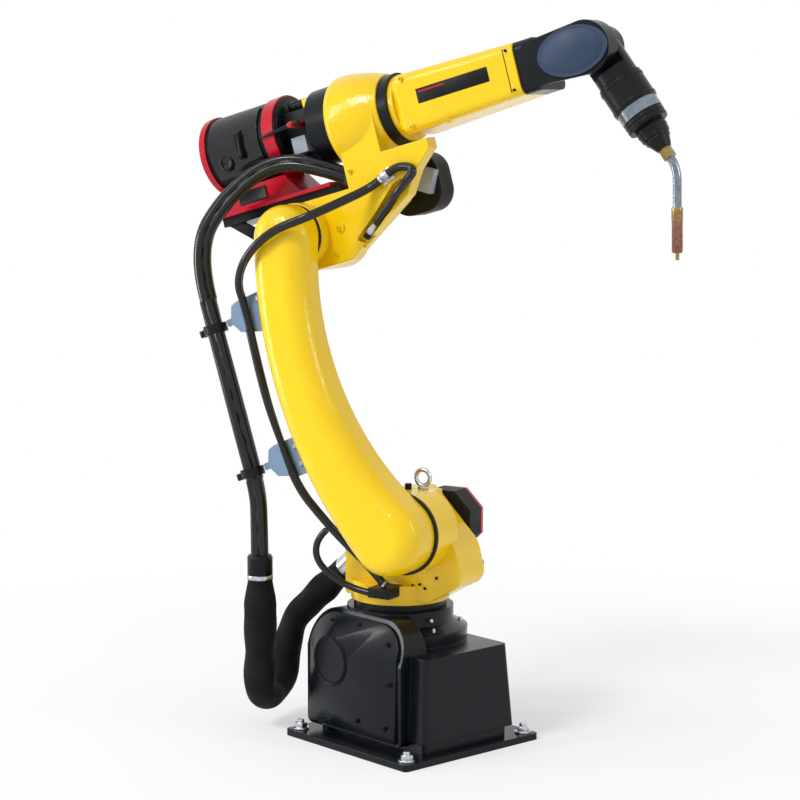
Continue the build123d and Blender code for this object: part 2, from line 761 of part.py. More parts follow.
with BuildPart() as wrist_fork:
    with BuildSketch(end_plane(elbow_side, forearm_end, ELBOW_RISE)):
        RectangleRounded(2 * FORK_OUTER, 2 * FOREARM_END_HALF_HEIGHT, FOREARM_EDGE)
    extrude(amount=FORK_ROOT)
    with BuildSketch(elbow_side.offset(FORK_INNER)):
        with Locations((FOREARM_REACH, ELBOW_RISE)):
            Circle(FORK_RADIUS)
        with BuildLine():
            Polyline(*fork_rib(1), *reversed(fork_rib(-1)), close=True)
        make_face()
    extrude(amount=FORK_SKIN - FORK_INNER)
    with BuildSketch(elbow_side.offset(FORK_SKIN)):
        with BuildLine():
            Polyline(
                (FOREARM_REACH, ELBOW_RISE + FORK_RADIUS),
                (fork_root_end - FOREARM_EDGE, ELBOW_RISE + FOREARM_END_HALF_HEIGHT - FOREARM_EDGE / 2),
                (fork_root_end - FOREARM_EDGE, ELBOW_RISE - FOREARM_END_HALF_HEIGHT + FOREARM_EDGE / 2),
                (FOREARM_REACH, ELBOW_RISE - FORK_RADIUS),
            )
            ThreePointArc(
                (FOREARM_REACH, ELBOW_RISE - FORK_RADIUS),
                (FOREARM_REACH + FORK_RADIUS, ELBOW_RISE),
                (FOREARM_REACH, ELBOW_RISE + FORK_RADIUS),
            )
        make_face()
    extrude(amount=FORK_OUTER - FORK_SKIN)
save(wrist_fork, "wrist_fork")

with BuildPart() as fork_cover:
    with BuildSketch(elbow_side.offset(FORK_OUTER)):
        with Locations((FOREARM_REACH - FORK_COVER_SHIFT, ELBOW_RISE)):
            Ellipse(FORK_COVER_LENGTH / 2, FORK_COVER_HEIGHT / 2)
    extrude(amount=FORK_COVER_THICK)
save(fork_cover, "fork_cover")

# Wrist
wrist_right = FORK_INNER - WRIST_GAP

with BuildPart() as wrist_body:
    with BuildSketch(wrist_side.offset(-WRIST_LEFT)):
        Circle(WRIST_HUB_RADIUS)
    extrude(amount=WRIST_LEFT + wrist_right)
    with BuildSketch(end_plane(wrist_side, 0, 0)):
        Circle(WRIST_NECK_RADIUS)
        with Locations((-wrist_right - WRIST_NECK_RADIUS, 0)):
            Rectangle(2 * WRIST_NECK_RADIUS, 2 * WRIST_NECK_RADIUS, mode=Mode.SUBTRACT)
    extrude(amount=WRIST_NECK_CUT)
    with BuildSketch(end_plane(wrist_side, WRIST_NECK_CUT, 0)):
        Circle(WRIST_NECK_RADIUS)
    extrude(amount=WRIST_TO_FLANGE - WRIST_NECK_CUT)
save(wrist_body, "wrist_body")

# Tool flange and torch
flange_start = WRIST_TO_FLANGE + RUNNING_GAP
clamp_start = flange_start + FLANGE_LENGTH
torch_start = clamp_start + CLAMP_RING_LENGTH
body_start = torch_start + TORCH_DISC_LENGTH
cone_start = body_start + TORCH_BODY_LENGTH
nut_start = cone_start + TORCH_CONE_LENGTH
neck_start = nut_start + NUT_LENGTH

with BuildPart() as tool_flange:
    with BuildSketch(end_plane(wrist_side, flange_start, 0)):
        Circle(FLANGE_RADIUS)
    extrude(amount=FLANGE_LENGTH)
save(tool_flange, "tool_flange")

with BuildPart() as clamp_ring:
    with BuildSketch(end_plane(wrist_side, clamp_start, 0)):
        Circle(CLAMP_RING_RADIUS)
    extrude(amount=CLAMP_RING_LENGTH)
save(clamp_ring, "clamp_ring")

with BuildPart() as torch_body:
    with BuildSketch(end_plane(wrist_side, torch_start, 0)):
        Circle(TORCH_DISC_RADIUS)
    extrude(amount=TORCH_DISC_LENGTH)
    with BuildSketch(end_plane(wrist_side, body_start, 0)):
        Circle(TORCH_BODY_RADIUS)
    extrude(amount=TORCH_BODY_LENGTH)
    with BuildSketch(end_plane(wrist_side, cone_start, 0)):
        Circle(TORCH_BODY_RADIUS)
    with BuildSketch(end_plane(wrist_side, nut_start, 0)):
        Circle(TORCH_CONE_TIP)
    loft()
save(torch_body, "torch_body")

with BuildPart() as torch_nut:
    with BuildSketch(end_plane(wrist_side, nut_start, 0)):
        RegularPolygon(NUT_RADIUS, 6)
    extrude(amount=NUT_LENGTH)
save(torch_nut, "torch_nut")

neck_turn = radians(TORCH_NECK_BEND)
neck_end_x = neck_start + TORCH_NECK_CURVE * sin(neck_turn) + TORCH_NECK_STRAIGHT * cos(neck_turn)
neck_end_y = -TORCH_NECK_CURVE * (1 - cos(neck_turn)) - TORCH_NECK_STRAIGHT * sin(neck_turn)

with BuildPart() as torch_neck:
    with BuildLine(wrist_side) as neck_line:
        start_arc = CenterArc((neck_start, -TORCH_NECK_CURVE), TORCH_NECK_CURVE, 90, -TORCH_NECK_BEND)
        Line(start_arc @ 1, (neck_end_x, neck_end_y))
    with BuildSketch(end_plane(wrist_side, neck_start, 0)):
        Circle(TORCH_NECK_RADIUS)
    sweep(path=neck_line.wires()[0])
save(torch_neck, "torch_neck")

nozzle_origin = wrist_side.from_local_coords((neck_end_x, neck_end_y, 0))
nozzle_side = side_plane(nozzle_origin, REST_WRIST - TORCH_NECK_BEND)

with BuildPart() as torch_nozzle:
    with BuildSketch(end_plane(nozzle_side, 0, 0)):
        Circle(NOZZLE_RADIUS)
    extrude(amount=NOZZLE_LENGTH)
    with BuildSketch(end_plane(nozzle_side, NOZZLE_LENGTH, 0)):
        Circle(NOZZLE_RADIUS - NOZZLE_WALL)
    extrude(amount=-NOZZLE_MOUTH, mode=Mode.SUBTRACT)
save(torch_nozzle, "torch_nozzle")

with BuildPart() as contact_tip:
    with BuildSketch(end_plane(nozzle_side, NOZZLE_LENGTH - NOZZLE_MOUTH, 0)):
        Circle(TIP_RADIUS)
    extrude(amount=NOZZLE_MOUTH + TIP_LENGTH)
save(contact_tip, "contact_tip")

# Eye bolt
eye_height = turret_top + EYE_FOOT_HEIGHT + EYE_RADIUS
eye_foot = turret_side.from_local_coords((SHOULDER_FORWARD, turret_top, EYE_LATERAL))
eye_centre = turret_side.from_local_coords((SHOULDER_FORWARD, eye_height, EYE_LATERAL))

with BuildPart() as eye_bolt:
    with BuildSketch(Plane(origin=eye_foot, x_dir=forward, z_dir=upward)):
        Circle(EYE_FOOT_RADIUS)
    extrude(amount=EYE_FOOT_HEIGHT)
    with BuildSketch(end_plane(turret_side, SHOULDER_FORWARD, eye_height, EYE_LATERAL)):
        with Locations((0, EYE_RADIUS)):
            RegularPolygon(EYE_ROD, 8)
    revolve(axis=Axis(eye_centre, sideways))
save(eye_bolt, "eye_bolt")

# Turret fittings
with BuildPart() as turret_plug:
    with BuildSketch(turret_side.offset(-TURRET_LEFT)):
        with Locations((PLUG_FORWARD, shoulder_height - PLUG_DROP)):
            Circle(PLUG_RADIUS)
    extrude(amount=-PLUG_LENGTH)
save(turret_plug, "turret_plug")

breather_foot = turret_side.from_local_coords((BREATHER_FORWARD, turret_top, BREATHER_LATERAL))

with BuildPart() as turret_breather:
    with BuildSketch(Plane(origin=breather_foot, x_dir=forward, z_dir=upward)):
        Circle(BREATHER_RADIUS)
    extrude(amount=BREATHER_HEIGHT)
save(turret_breather, "turret_breather")

clamp_block_base = turret_floor + CLAMP_BLOCK_BASE
clamp_block_top = clamp_block_base + CLAMP_BLOCK_HEIGHT
clamp_block_middle = clamp_block_base + CLAMP_BLOCK_HEIGHT / 2

with BuildPart() as harness_clamp:
    with BuildSketch(turret_side):
        with Locations((CLAMP_BLOCK_START + CLAMP_BLOCK_LENGTH / 2, clamp_block_middle)):
            Rectangle(CLAMP_BLOCK_LENGTH, CLAMP_BLOCK_HEIGHT)
    extrude(amount=CLAMP_BLOCK_OUTER)
    with BuildSketch(Plane.XY.offset(turret_floor)):
        Circle(TURRET_DRUM_RADIUS)
    extrude(amount=SHOULDER_RISE, mode=Mode.SUBTRACT)
save(harness_clamp, "harness_clamp")

fitting_seat = turret_side.from_local_coords((-TURRET_REAR, FITTING_HEIGHT, FITTING_LATERAL))
fitting_side = side_plane(fitting_seat, FITTING_SLOPE)
fitting_end = Vector(*fitting_side.from_local_coords((-FITTING_LENGTH, 0, 0)))

with BuildPart() as sleeve_fitting:
    with BuildSketch(end_plane(fitting_side, -FITTING_LENGTH, 0)):
        Circle(FITTING_RADIUS)
    extrude(amount=2 * FITTING_LENGTH)
    split(bisect_by=end_plane(turret_side, -TURRET_REAR - SEAT_GAP, 0), keep=Keep.BOTTOM)
save(sleeve_fitting, "sleeve_fitting")


def hose_back(height):
    """Returns how far behind the arm's axis the thick hose runs at this height."""
    low = LOWER_BRACKET - HOSE_BELOW
    high = UPPER_BRACKET + HOSE_ABOVE
    return -HOSE_TOP_BACK - HOSE_LEAN * (high - height) / (high - low)


def bracket_edge(points, start, height):
    """Returns one edge of a bracket's plate from its tongue, carried on into the arm."""
    edge = [(start + back, height + rise) for back, rise in points]
    inside = (-ARM_SHOULDER_RADIUS, max(edge, key=lambda point: point[0])[1])
    return sorted([*edge, inside], key=lambda point: point[0], reverse=points[0][1] < 0)


# Cable brackets
for height, label in ((UPPER_BRACKET, "upper_cable_bracket"), (LOWER_BRACKET, "lower_cable_bracket")):
    reach = hose_back(height) + HOSE_RADIUS + HOSE_CLAMP_WALL + HOSE_LATERAL - BRACKET_LATERAL - BRACKET_THICK
    with BuildPart() as cable_bracket:
        with BuildSketch(arm_side.offset(BRACKET_LATERAL)):
            with BuildLine():
                Polyline(
                    (reach, height - BRACKET_TONGUE_HALF),
                    (reach, height + BRACKET_TONGUE_HALF),
                    *bracket_edge(BRACKET_UPPER_EDGE, reach + BRACKET_TONGUE, height),
                    *bracket_edge(BRACKET_LOWER_EDGE, reach + BRACKET_TONGUE, height),
                    close=True,
                )
            make_face()
            make_face(arm_outline(), mode=Mode.SUBTRACT)
        extrude(amount=BRACKET_THICK)
    save(cable_bracket, label)


# Cords
def on_arm(x, y, lateral):
    """Point in the arm's frame."""
    return Vector(*arm_side.from_local_coords((x, y, lateral)))


def on_elbow(x, y, lateral):
    """Point in the elbow's frame."""
    return Vector(*elbow_side.from_local_coords((x, y, lateral)))


def on_turret(x, y, lateral):
    """Point in the turret's frame."""
    return Vector(*turret_side.from_local_coords((x, y, lateral)))


def turn_radii(points):
    """Returns the radius of each turn, from the shorter run beside it and the turn's angle."""
    radii = []
    for before, corner, after in zip(points, points[1:], points[2:]):
        run_in = corner - before
        run_out = after - corner
        half_turn = radians(run_in.get_angle(run_out)) / 2
        radii.append(TURN_SHARE * min(run_in.length, run_out.length) / tan(half_turn))
    return radii


def cord(points, radius, label):
    """Makes a round cord along straight runs with rounded turns, and prints the turns' radii."""
    radii = turn_radii(points)
    with BuildPart() as piece:
        with BuildLine() as route:
            FilletPolyline(*points, radius=radii)
        with BuildSketch(Plane(origin=route.line @ 0, z_dir=route.line % 0)):
            Circle(radius)
        sweep(path=route.wires()[0])
    print(label, "radii", [round(turn) for turn in radii], "length", round(route.wires()[0].length))
    save(piece, label)


hose_high = UPPER_BRACKET + HOSE_ABOVE
hose_low = LOWER_BRACKET - HOSE_BELOW
hose_top = on_arm(hose_back(hose_high), hose_high, HOSE_LATERAL)
hose_bottom = on_arm(hose_back(hose_low), hose_low, HOSE_LATERAL)
hose_line = (hose_bottom - hose_top).normalized()
collar_top = on_turret(*COLLAR_TOP, HOSE_LATERAL)
collar_bottom = collar_top - upward * COLLAR_LENGTH

with BuildPart() as hose_middle:
    with BuildSketch(Plane(origin=hose_top, z_dir=hose_line)):
        Circle(HOSE_RADIUS)
    extrude(amount=(hose_bottom - hose_top).length)
save(hose_middle, "hose_middle")

for height, label in ((UPPER_BRACKET, "upper_hose_clamp"), (LOWER_BRACKET, "lower_hose_clamp")):
    clamp_height = height + HOSE_CLAMP_HEIGHT / 2
    clamp_top = on_arm(hose_back(clamp_height), clamp_height, HOSE_LATERAL)
    with BuildPart() as hose_clamp:
        with BuildSketch(Plane(origin=clamp_top, z_dir=hose_line)):
            Circle(HOSE_RADIUS + HOSE_CLAMP_WALL)
            Circle(HOSE_RADIUS + HOSE_FIT, mode=Mode.SUBTRACT)
        extrude(amount=HOSE_CLAMP_HEIGHT)
    save(hose_clamp, label)

hose_upper_points = [
    hose_top,
    hose_top - hose_line * HOSE_RUN_UP,
    on_elbow(-132, 118, 124),
    on_elbow(-14, 164, 90),
    on_elbow(92, 112, 62),
    on_elbow(120.5, 88.4, 55),
]
cord(hose_upper_points, HOSE_RADIUS, "hose_upper")

hose_lower_points = [
    hose_bottom,
    hose_bottom + hose_line * HOSE_RUN_DOWN,
    collar_top + upward * HOSE_COLLAR_RUN,
    collar_top,
]
cord(hose_lower_points, HOSE_RADIUS, "hose_lower")

with BuildPart() as sleeve_collar:
    with BuildSketch(Plane(origin=collar_bottom, z_dir=upward)):
        Circle(COLLAR_RADIUS)
    extrude(amount=COLLAR_LENGTH)
save(sleeve_collar, "sleeve_collar")

sleeve_points = [
    collar_bottom,
    collar_bottom - upward * SLEEVE_DROP,
    on_turret(-258, 68, 142),
    on_turret(-290, 68, 0),
    on_turret(-274, 205, 2),
    Vector(*fitting_side.from_local_coords((-FITTING_LEAD, 0, 0))),
    fitting_end,
]
cord(sleeve_points, SLEEVE_RADIUS, "cable_sleeve")

# Harness
recess_floor = ELBOW_RIGHT - RECESS_DEPTH
gland_lateral = recess_floor + GLAND_RADIUS + SEAT_GAP
gland_side = side_plane(on_elbow(*GLAND_START, gland_lateral), REST_LIFT + GLAND_TILT)
clamp_lateral = ELBOW_RIGHT + HARNESS_RADIUS + SEAT_GAP
clamp_origin = on_elbow(HARNESS_CLAMP_FORWARD, HARNESS_CLAMP_RISE, clamp_lateral)
clamp_side = side_plane(clamp_origin, REST_LIFT + HARNESS_CLAMP_TILT)
harness_lateral = BRACKET_LATERAL + BRACKET_THICK + HARNESS_RADIUS + RUNNING_GAP
clamp_half = HARNESS_CLAMP_LENGTH / 2

with BuildPart() as harness_gland:
    with BuildSketch(end_plane(gland_side, 0, 0)):
        Circle(GLAND_RADIUS)
    extrude(amount=GLAND_LENGTH)
save(harness_gland, "harness_gland")

with BuildPart() as harness_loop_clamp:
    with BuildSketch(elbow_side.offset(ELBOW_RIGHT)):
        with Locations((HARNESS_CLAMP_FORWARD, HARNESS_CLAMP_RISE)):
            Rectangle(HARNESS_CLAMP_LENGTH, HARNESS_CLAMP_WIDTH, rotation=HARNESS_CLAMP_TILT)
    extrude(amount=HARNESS_CLAMP_THICK)
save(harness_loop_clamp, "harness_loop_clamp")

harness_end_points = [
    Vector(*clamp_side.from_local_coords((clamp_half, 0, 0))),
    Vector(*clamp_side.from_local_coords((HARNESS_CLAMP_LEAD, 0, 0))),
    on_elbow(302, 62, clamp_lateral),
    on_elbow(266, 38, clamp_lateral + 8),
    Vector(*gland_side.from_local_coords((GLAND_LEAD, 0, 0))),
    Vector(*gland_side.from_local_coords((GLAND_LENGTH, 0, 0))),
]
cord(harness_end_points, HARNESS_RADIUS, "harness_end")

harness_top = on_arm(-150, 500, harness_lateral)
harness_foot = on_arm(-172, 200, harness_lateral)
harness_upper_points = [
    Vector(*clamp_side.from_local_coords((-clamp_half, 0, 0))),
    Vector(*clamp_side.from_local_coords((-HARNESS_CLAMP_LEAD, 0, 0))),
    on_elbow(146, 36, 144),
    on_elbow(98, 20, 203),
    on_arm(14, 652, 210),
    on_arm(-66, 630, 206),
    on_arm(-128, 594, 176),
    on_arm(-142, 550, harness_lateral),
    harness_top,
]
cord(harness_upper_points, HARNESS_RADIUS, "harness_upper")

harness_middle_points = [
    harness_top,
    on_arm(-166, 400, harness_lateral),
    on_arm(-174, 300, harness_lateral),
    harness_foot,
]
cord(harness_middle_points, HARNESS_RADIUS, "harness_middle")

harness_lower_points = [
    harness_foot,
    on_arm(-171.2, 160, harness_lateral),
    on_arm(-142, 84, 154),
    on_turret(-36, 420, 148),
    on_turret(15, 372, 134),
    on_turret(34, clamp_block_top + HARNESS_SEAT, CLAMP_BLOCK_MIDDLE),
]
cord(harness_lower_points, HARNESS_RADIUS, "harness_lower")

harness_loop_points = [
    on_turret(CLAMP_BLOCK_START - LOOP_SEAT, clamp_block_middle, CLAMP_BLOCK_MIDDLE),
    on_turret(-52, clamp_block_middle + LOOP_LIFT, 122),
    on_turret(-116, 372, 138),
    on_turret(-112, 424, 148),
    on_turret(-85, 446, 150.5),
]
cord(harness_loop_points, LOOP_RADIUS, "harness_loop")

# Wire feeder
tray_floor = ELBOW_SHELF + FEEDER_SHELF_THICK
plinth_floor = tray_floor + TRAY_THICK
plinth_top = plinth_floor + PLINTH_HEIGHT


def feeder_slab(rear, front, low, high, half_width):
    """Returns a slab in the elbow's frame between these sides."""
    with BuildPart() as slab:
        with BuildSketch(elbow_side.offset(-half_width)):
            with Locations(((front + rear) / 2, (low + high) / 2)):
                Rectangle(front - rear, high - low)
        extrude(amount=2 * half_width)
    return slab


def feeder_round(rear, front, radius, low):
    """Returns a round piece along the feeder's axis, cut flat at the bottom."""
    with BuildPart() as drum:
        with BuildSketch(end_plane(elbow_side, rear, FEEDER_RISE)):
            Circle(radius)
            with Locations((0, low - FEEDER_RISE - radius)):
                Rectangle(2 * radius, 2 * radius, mode=Mode.SUBTRACT)
        extrude(amount=front - rear)
    return drum


feeder_shelf = feeder_slab(-FEEDER_SHELF_REAR, FEEDER_SHELF_FRONT, ELBOW_SHELF, tray_floor, FEEDER_HALF_WIDTH)
save(feeder_shelf, "feeder_shelf")
feeder_tray = feeder_slab(
    -FEEDER_SHELF_REAR - TRAY_OVERHANG,
    FEEDER_SHELF_FRONT - TRAY_OVERHANG,
    tray_floor,
    plinth_floor,
    FEEDER_HALF_WIDTH + TRAY_OVERHANG,
)
save(feeder_tray, "feeder_tray")

with BuildPart() as feeder_plinth:
    with BuildSketch(elbow_side.offset(-PLINTH_HALF_WIDTH)):
        with BuildLine():
            Polyline(
                (-FEEDER_SHELF_REAR, plinth_floor),
                (0, plinth_floor),
                (-PLINTH_SLOPE / 2, plinth_top),
                (-FEEDER_SHELF_REAR, plinth_top),
                close=True,
            )
        make_face()
    extrude(amount=2 * PLINTH_HALF_WIDTH)
save(feeder_plinth, "feeder_plinth")

with BuildPart() as feeder_strut:
    with BuildSketch(elbow_side.offset(STRUT_LATERAL)):
        with BuildLine():
            Polyline(
                (-STRUT_REAR, ELBOW_SHELF),
                (-STRUT_REAR + STRUT_WIDTH, ELBOW_SHELF),
                (-STRUT_FOOT, STRUT_DROP - STRUT_FOOT),
                (-STRUT_FOOT, -STRUT_DROP),
                close=True,
            )
        make_face()
        Circle(ELBOW_HUB_RADIUS, mode=Mode.SUBTRACT)
    extrude(amount=STRUT_THICK)
save(feeder_strut, "feeder_strut")

feeder_drum = feeder_round(-FEEDER_REAR, -FEEDER_BAND_REAR, FEEDER_RADIUS, plinth_top)
save(feeder_drum, "feeder_drum")
feeder_end_cap = feeder_round(-FEEDER_REAR - FEEDER_CAP_THICK, -FEEDER_REAR, FEEDER_CAP_RADIUS, plinth_top)
save(feeder_end_cap, "feeder_end_cap")

door_start = FEEDER_DOOR_CENTRE - FEEDER_DOOR_SWEEP / 2
door_rear = -FEEDER_REAR + FEEDER_DOOR_MARGIN
door_front = -FEEDER_BAND_REAR - FEEDER_DOOR_MARGIN

with BuildPart() as feeder_door:
    with BuildSketch(end_plane(elbow_side, door_rear, FEEDER_RISE)):
        with BuildLine():
            inner_arc = CenterArc((0, 0), FEEDER_RADIUS, 180 - door_start, -FEEDER_DOOR_SWEEP)
            outer_arc = CenterArc((0, 0), FEEDER_DOOR_RADIUS, 180 - door_start, -FEEDER_DOOR_SWEEP)
            Line(inner_arc @ 0, outer_arc @ 0)
            Line(inner_arc @ 1, outer_arc @ 1)
        make_face()
    extrude(amount=door_front - door_rear)
save(feeder_door, "feeder_door")

feeder_band = feeder_round(
    -FEEDER_BAND_REAR, -FEEDER_BAND_REAR + FEEDER_BAND_THICK, FEEDER_BAND_RADIUS, plinth_top
)
save(feeder_band, "feeder_band")
wire_drive = feeder_slab(
    -FEEDER_BAND_REAR + FEEDER_BAND_THICK, DRIVE_FRONT, plinth_top, FEEDER_RISE + DRIVE_HALF, DRIVE_HALF
)
save(wire_drive, "wire_drive")

with BuildPart() as drive_socket:
    with BuildSketch(elbow_side.offset(DRIVE_HALF)):
        with Locations((DRIVE_SOCKET_FORWARD, DRIVE_SOCKET_RISE)):
            Rectangle(DRIVE_SOCKET_SIZE, DRIVE_SOCKET_SIZE)
    extrude(amount=DRIVE_SOCKET_THICK)
save(drive_socket, "drive_socket")

with BuildPart() as roll_motor_cover:
    with BuildSketch(end_plane(elbow_side, BARREL_REAR, ELBOW_RISE + REAR_COVER_RISE)):
        Circle(REAR_COVER_RADIUS)
    extrude(amount=-REAR_COVER_LENGTH)
save(roll_motor_cover, "roll_motor_cover")
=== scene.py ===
import json
from math import cos, pi, radians, sin

import bpy
from mathutils import Matrix, Vector


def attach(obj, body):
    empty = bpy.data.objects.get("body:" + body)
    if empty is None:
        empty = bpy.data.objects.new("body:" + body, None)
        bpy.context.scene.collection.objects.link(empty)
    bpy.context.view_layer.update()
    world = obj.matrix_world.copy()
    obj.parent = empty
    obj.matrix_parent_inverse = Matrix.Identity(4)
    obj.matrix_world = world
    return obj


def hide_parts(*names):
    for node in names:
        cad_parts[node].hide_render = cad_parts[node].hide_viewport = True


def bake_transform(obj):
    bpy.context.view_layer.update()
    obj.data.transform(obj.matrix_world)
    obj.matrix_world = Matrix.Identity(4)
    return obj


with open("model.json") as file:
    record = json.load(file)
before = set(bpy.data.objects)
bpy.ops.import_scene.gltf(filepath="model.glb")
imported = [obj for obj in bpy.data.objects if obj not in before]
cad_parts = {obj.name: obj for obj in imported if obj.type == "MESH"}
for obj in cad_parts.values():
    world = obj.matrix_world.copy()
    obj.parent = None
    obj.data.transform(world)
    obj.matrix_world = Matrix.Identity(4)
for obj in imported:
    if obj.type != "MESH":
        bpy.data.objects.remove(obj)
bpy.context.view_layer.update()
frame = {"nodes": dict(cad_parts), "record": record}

# Frames of the links, in the pose at rest
REST_TURN = radians(17.4)
FORWARD = Vector((cos(REST_TURN), sin(REST_TURN), 0))
SIDEWAYS = Vector((sin(REST_TURN), -cos(REST_TURN), 0))
UPWARD = Vector((0, 0, 1))


def link_frame(origin, angle):
    """Frame of a link seen from its right side: x leads at this angle above level, z points sideways."""
    lead = FORWARD * cos(radians(angle)) + UPWARD * sin(radians(angle))
    turned = Matrix((lead, SIDEWAYS.cross(lead), SIDEWAYS)).transposed()
    return Matrix.Translation(origin) @ turned.to_4x4()


# Links' lengths in metres, and their angles above level in degrees
SHOULDER_FORWARD = 0.075
SHOULDER_HEIGHT = 0.450
ARM_LENGTH = 0.640
FOREARM_RISE = 0.195
FOREARM_REACH = 0.700
ARM_LEAN = 23.7
FOREARM_TILT = 15.6
WRIST_TILT = -53
NOZZLE_TILT = -89

BASE = Matrix.Identity(4)
TURRET = link_frame((0, 0, 0), 0)
ARM = link_frame(TURRET @ Vector((SHOULDER_FORWARD, SHOULDER_HEIGHT, 0)), ARM_LEAN)
ELBOW = link_frame(ARM @ Vector((0, ARM_LENGTH, 0)), FOREARM_TILT)
WRIST = link_frame(ELBOW @ Vector((FOREARM_REACH, FOREARM_RISE, 0)), WRIST_TILT)
NOZZLE = link_frame(WRIST @ Vector((0.34352, -0.04394, 0)), NOZZLE_TILT)

# Turns a piece that stands up along z so that it stands along another direction
ALONG_X = Matrix.Rotation(pi / 2, 4, "Y")
ALONG_Y = Matrix.Rotation(-pi / 2, 4, "X")
AWAY_FROM_COVER = Matrix.Rotation(pi / 2, 4, "X")


# Materials
def linear(code):
    """Turns an sRGB hex colour into Blender's linear one."""
    shades = [int(code[i : i + 2], 16) / 255 for i in (1, 3, 5)]
    return [s / 12.92 if s <= 0.04045 else ((s + 0.055) / 1.055) ** 2.4 for s in shades] + [1]


def new_material(name):
    """Returns an empty material and its output node."""
    material = bpy.data.materials.new(name)
    material.use_nodes = True
    material.node_tree.nodes.clear()
    return material, material.node_tree.nodes.new("ShaderNodeOutputMaterial")


def add_node(material, kind, settings, links):
    """Adds one node with its settings, and feeds its inputs from other nodes' outputs."""
    node = material.node_tree.nodes.new(kind)
    for name, value in settings.items():
        if isinstance(name, str) and hasattr(node, name):
            setattr(node, name, value)
        else:
            node.inputs[name].default_value = value
    for name, (source, output) in links.items():
        material.node_tree.links.new(source.outputs[output], node.inputs[name])
    return node


def blend_colours(material, first, second, factor):
    """Mixes two colours by a node's output."""
    settings = {"data_type": "RGBA", 6: first, 7: second}
    return add_node(material, "ShaderNodeMix", settings, {0: factor})


def painted_casting(
    name, colour, tone, speck, rough, shine, peel_size=0.0015, peel_depth=0.0001, edge=0.002, coat=0.0
):
    """Sprayed enamel over cast metal: an even colour with faint clouds, orange peel and small scuffs."""
    material, output = new_material(name)
    place = add_node(material, "ShaderNodeTexCoord", {}, {})
    here = {"Vector": (place, "Object")}
    clouds = add_node(material, "ShaderNodeTexNoise", {"Scale": 1 / 0.09, "Detail": 3}, here)
    scuffs = add_node(material, "ShaderNodeTexNoise", {"Scale": 1 / 0.007, "Detail": 5, "Roughness": 0.7}, here)
    patches = add_node(material, "ShaderNodeTexNoise", {"Scale": 1 / 0.16, "Detail": 2}, here)
    few = add_node(
        material,
        "ShaderNodeMapRange",
        {"From Min": 0.70, "From Max": 0.78, "To Max": 0.8},
        {"Value": (scuffs, "Fac")},
    )
    where = add_node(
        material, "ShaderNodeMapRange", {"From Min": 0.45, "From Max": 0.7}, {"Value": (patches, "Fac")}
    )
    worn = add_node(material, "ShaderNodeMath", {"operation": "MULTIPLY"}, {0: (few, 0), 1: (where, 0)})
    base = blend_colours(material, linear(colour), linear(tone), (clouds, "Fac"))
    marked = add_node(
        material, "ShaderNodeMix", {"data_type": "RGBA", 7: linear(speck)}, {0: (worn, 0), 6: (base, 2)}
    )
    gloss = add_node(
        material,
        "ShaderNodeMapRange",
        {"From Min": 0.3, "From Max": 0.7, "To Min": rough * 0.75, "To Max": rough * 1.3},
        {"Value": (clouds, "Fac")},
    )
    rounded = add_node(material, "ShaderNodeBevel", {"samples": 4, "Radius": edge}, {})
    peel = add_node(material, "ShaderNodeTexNoise", {"Scale": 1 / peel_size, "Detail": 2}, here)
    relief = add_node(
        material,
        "ShaderNodeBump",
        {"Strength": 0.6, "Distance": peel_depth},
        {"Height": (peel, "Fac"), "Normal": (rounded, 0)},
    )
    paint = add_node(
        material,
        "ShaderNodeBsdfPrincipled",
        {"Coat Weight": coat, "Coat Roughness": 0.08, "Specular IOR Level": shine},
        {
            "Base Color": (marked, 2),
            "Roughness": (gloss, 0),
            "Normal": (relief, 0),
            "Coat Normal": (relief, 0),
        },
    )
    material.node_tree.links.new(paint.outputs[0], output.inputs[0])
    return material


def moulded_plastic(name, colour, tone, rough, grain, shine, edge):
    """Injection-moulded shell: fine spark-eroded grain, with paler dust in random patches."""
    material, output = new_material(name)
    place = add_node(material, "ShaderNodeTexCoord", {}, {})
    here = {"Vector": (place, "Object")}
    dust = add_node(material, "ShaderNodeTexNoise", {"Scale": 1 / 0.05, "Detail": 6, "Roughness": 0.65}, here)
    amount = add_node(material, "ShaderNodeMapRange", {"From Min": 0.45, "From Max": 0.8}, {"Value": (dust, "Fac")})
    base = blend_colours(material, linear(colour), linear(tone), (amount, 0))
    sheen = add_node(
        material,
        "ShaderNodeMapRange",
        {"From Min": 0.3, "From Max": 0.7, "To Min": rough * 0.8, "To Max": rough * 1.25},
        {"Value": (dust, "Fac")},
    )
    pits = add_node(material, "ShaderNodeTexVoronoi", {"Scale": 1 / grain}, here)
    rounded = add_node(material, "ShaderNodeBevel", {"samples": 4, "Radius": edge}, {})
    relief = add_node(
        material,
        "ShaderNodeBump",
        {"Strength": 0.25, "Distance": 0.0002},
        {"Height": (pits, "Distance"), "Normal": (rounded, 0)},
    )
    shell = add_node(
        material,
        "ShaderNodeBsdfPrincipled",
        {"Specular IOR Level": shine},
        {"Base Color": (base, 2), "Roughness": (sheen, 0), "Normal": (relief, 0)},
    )
    material.node_tree.links.new(shell.outputs[0], output.inputs[0])
    return material


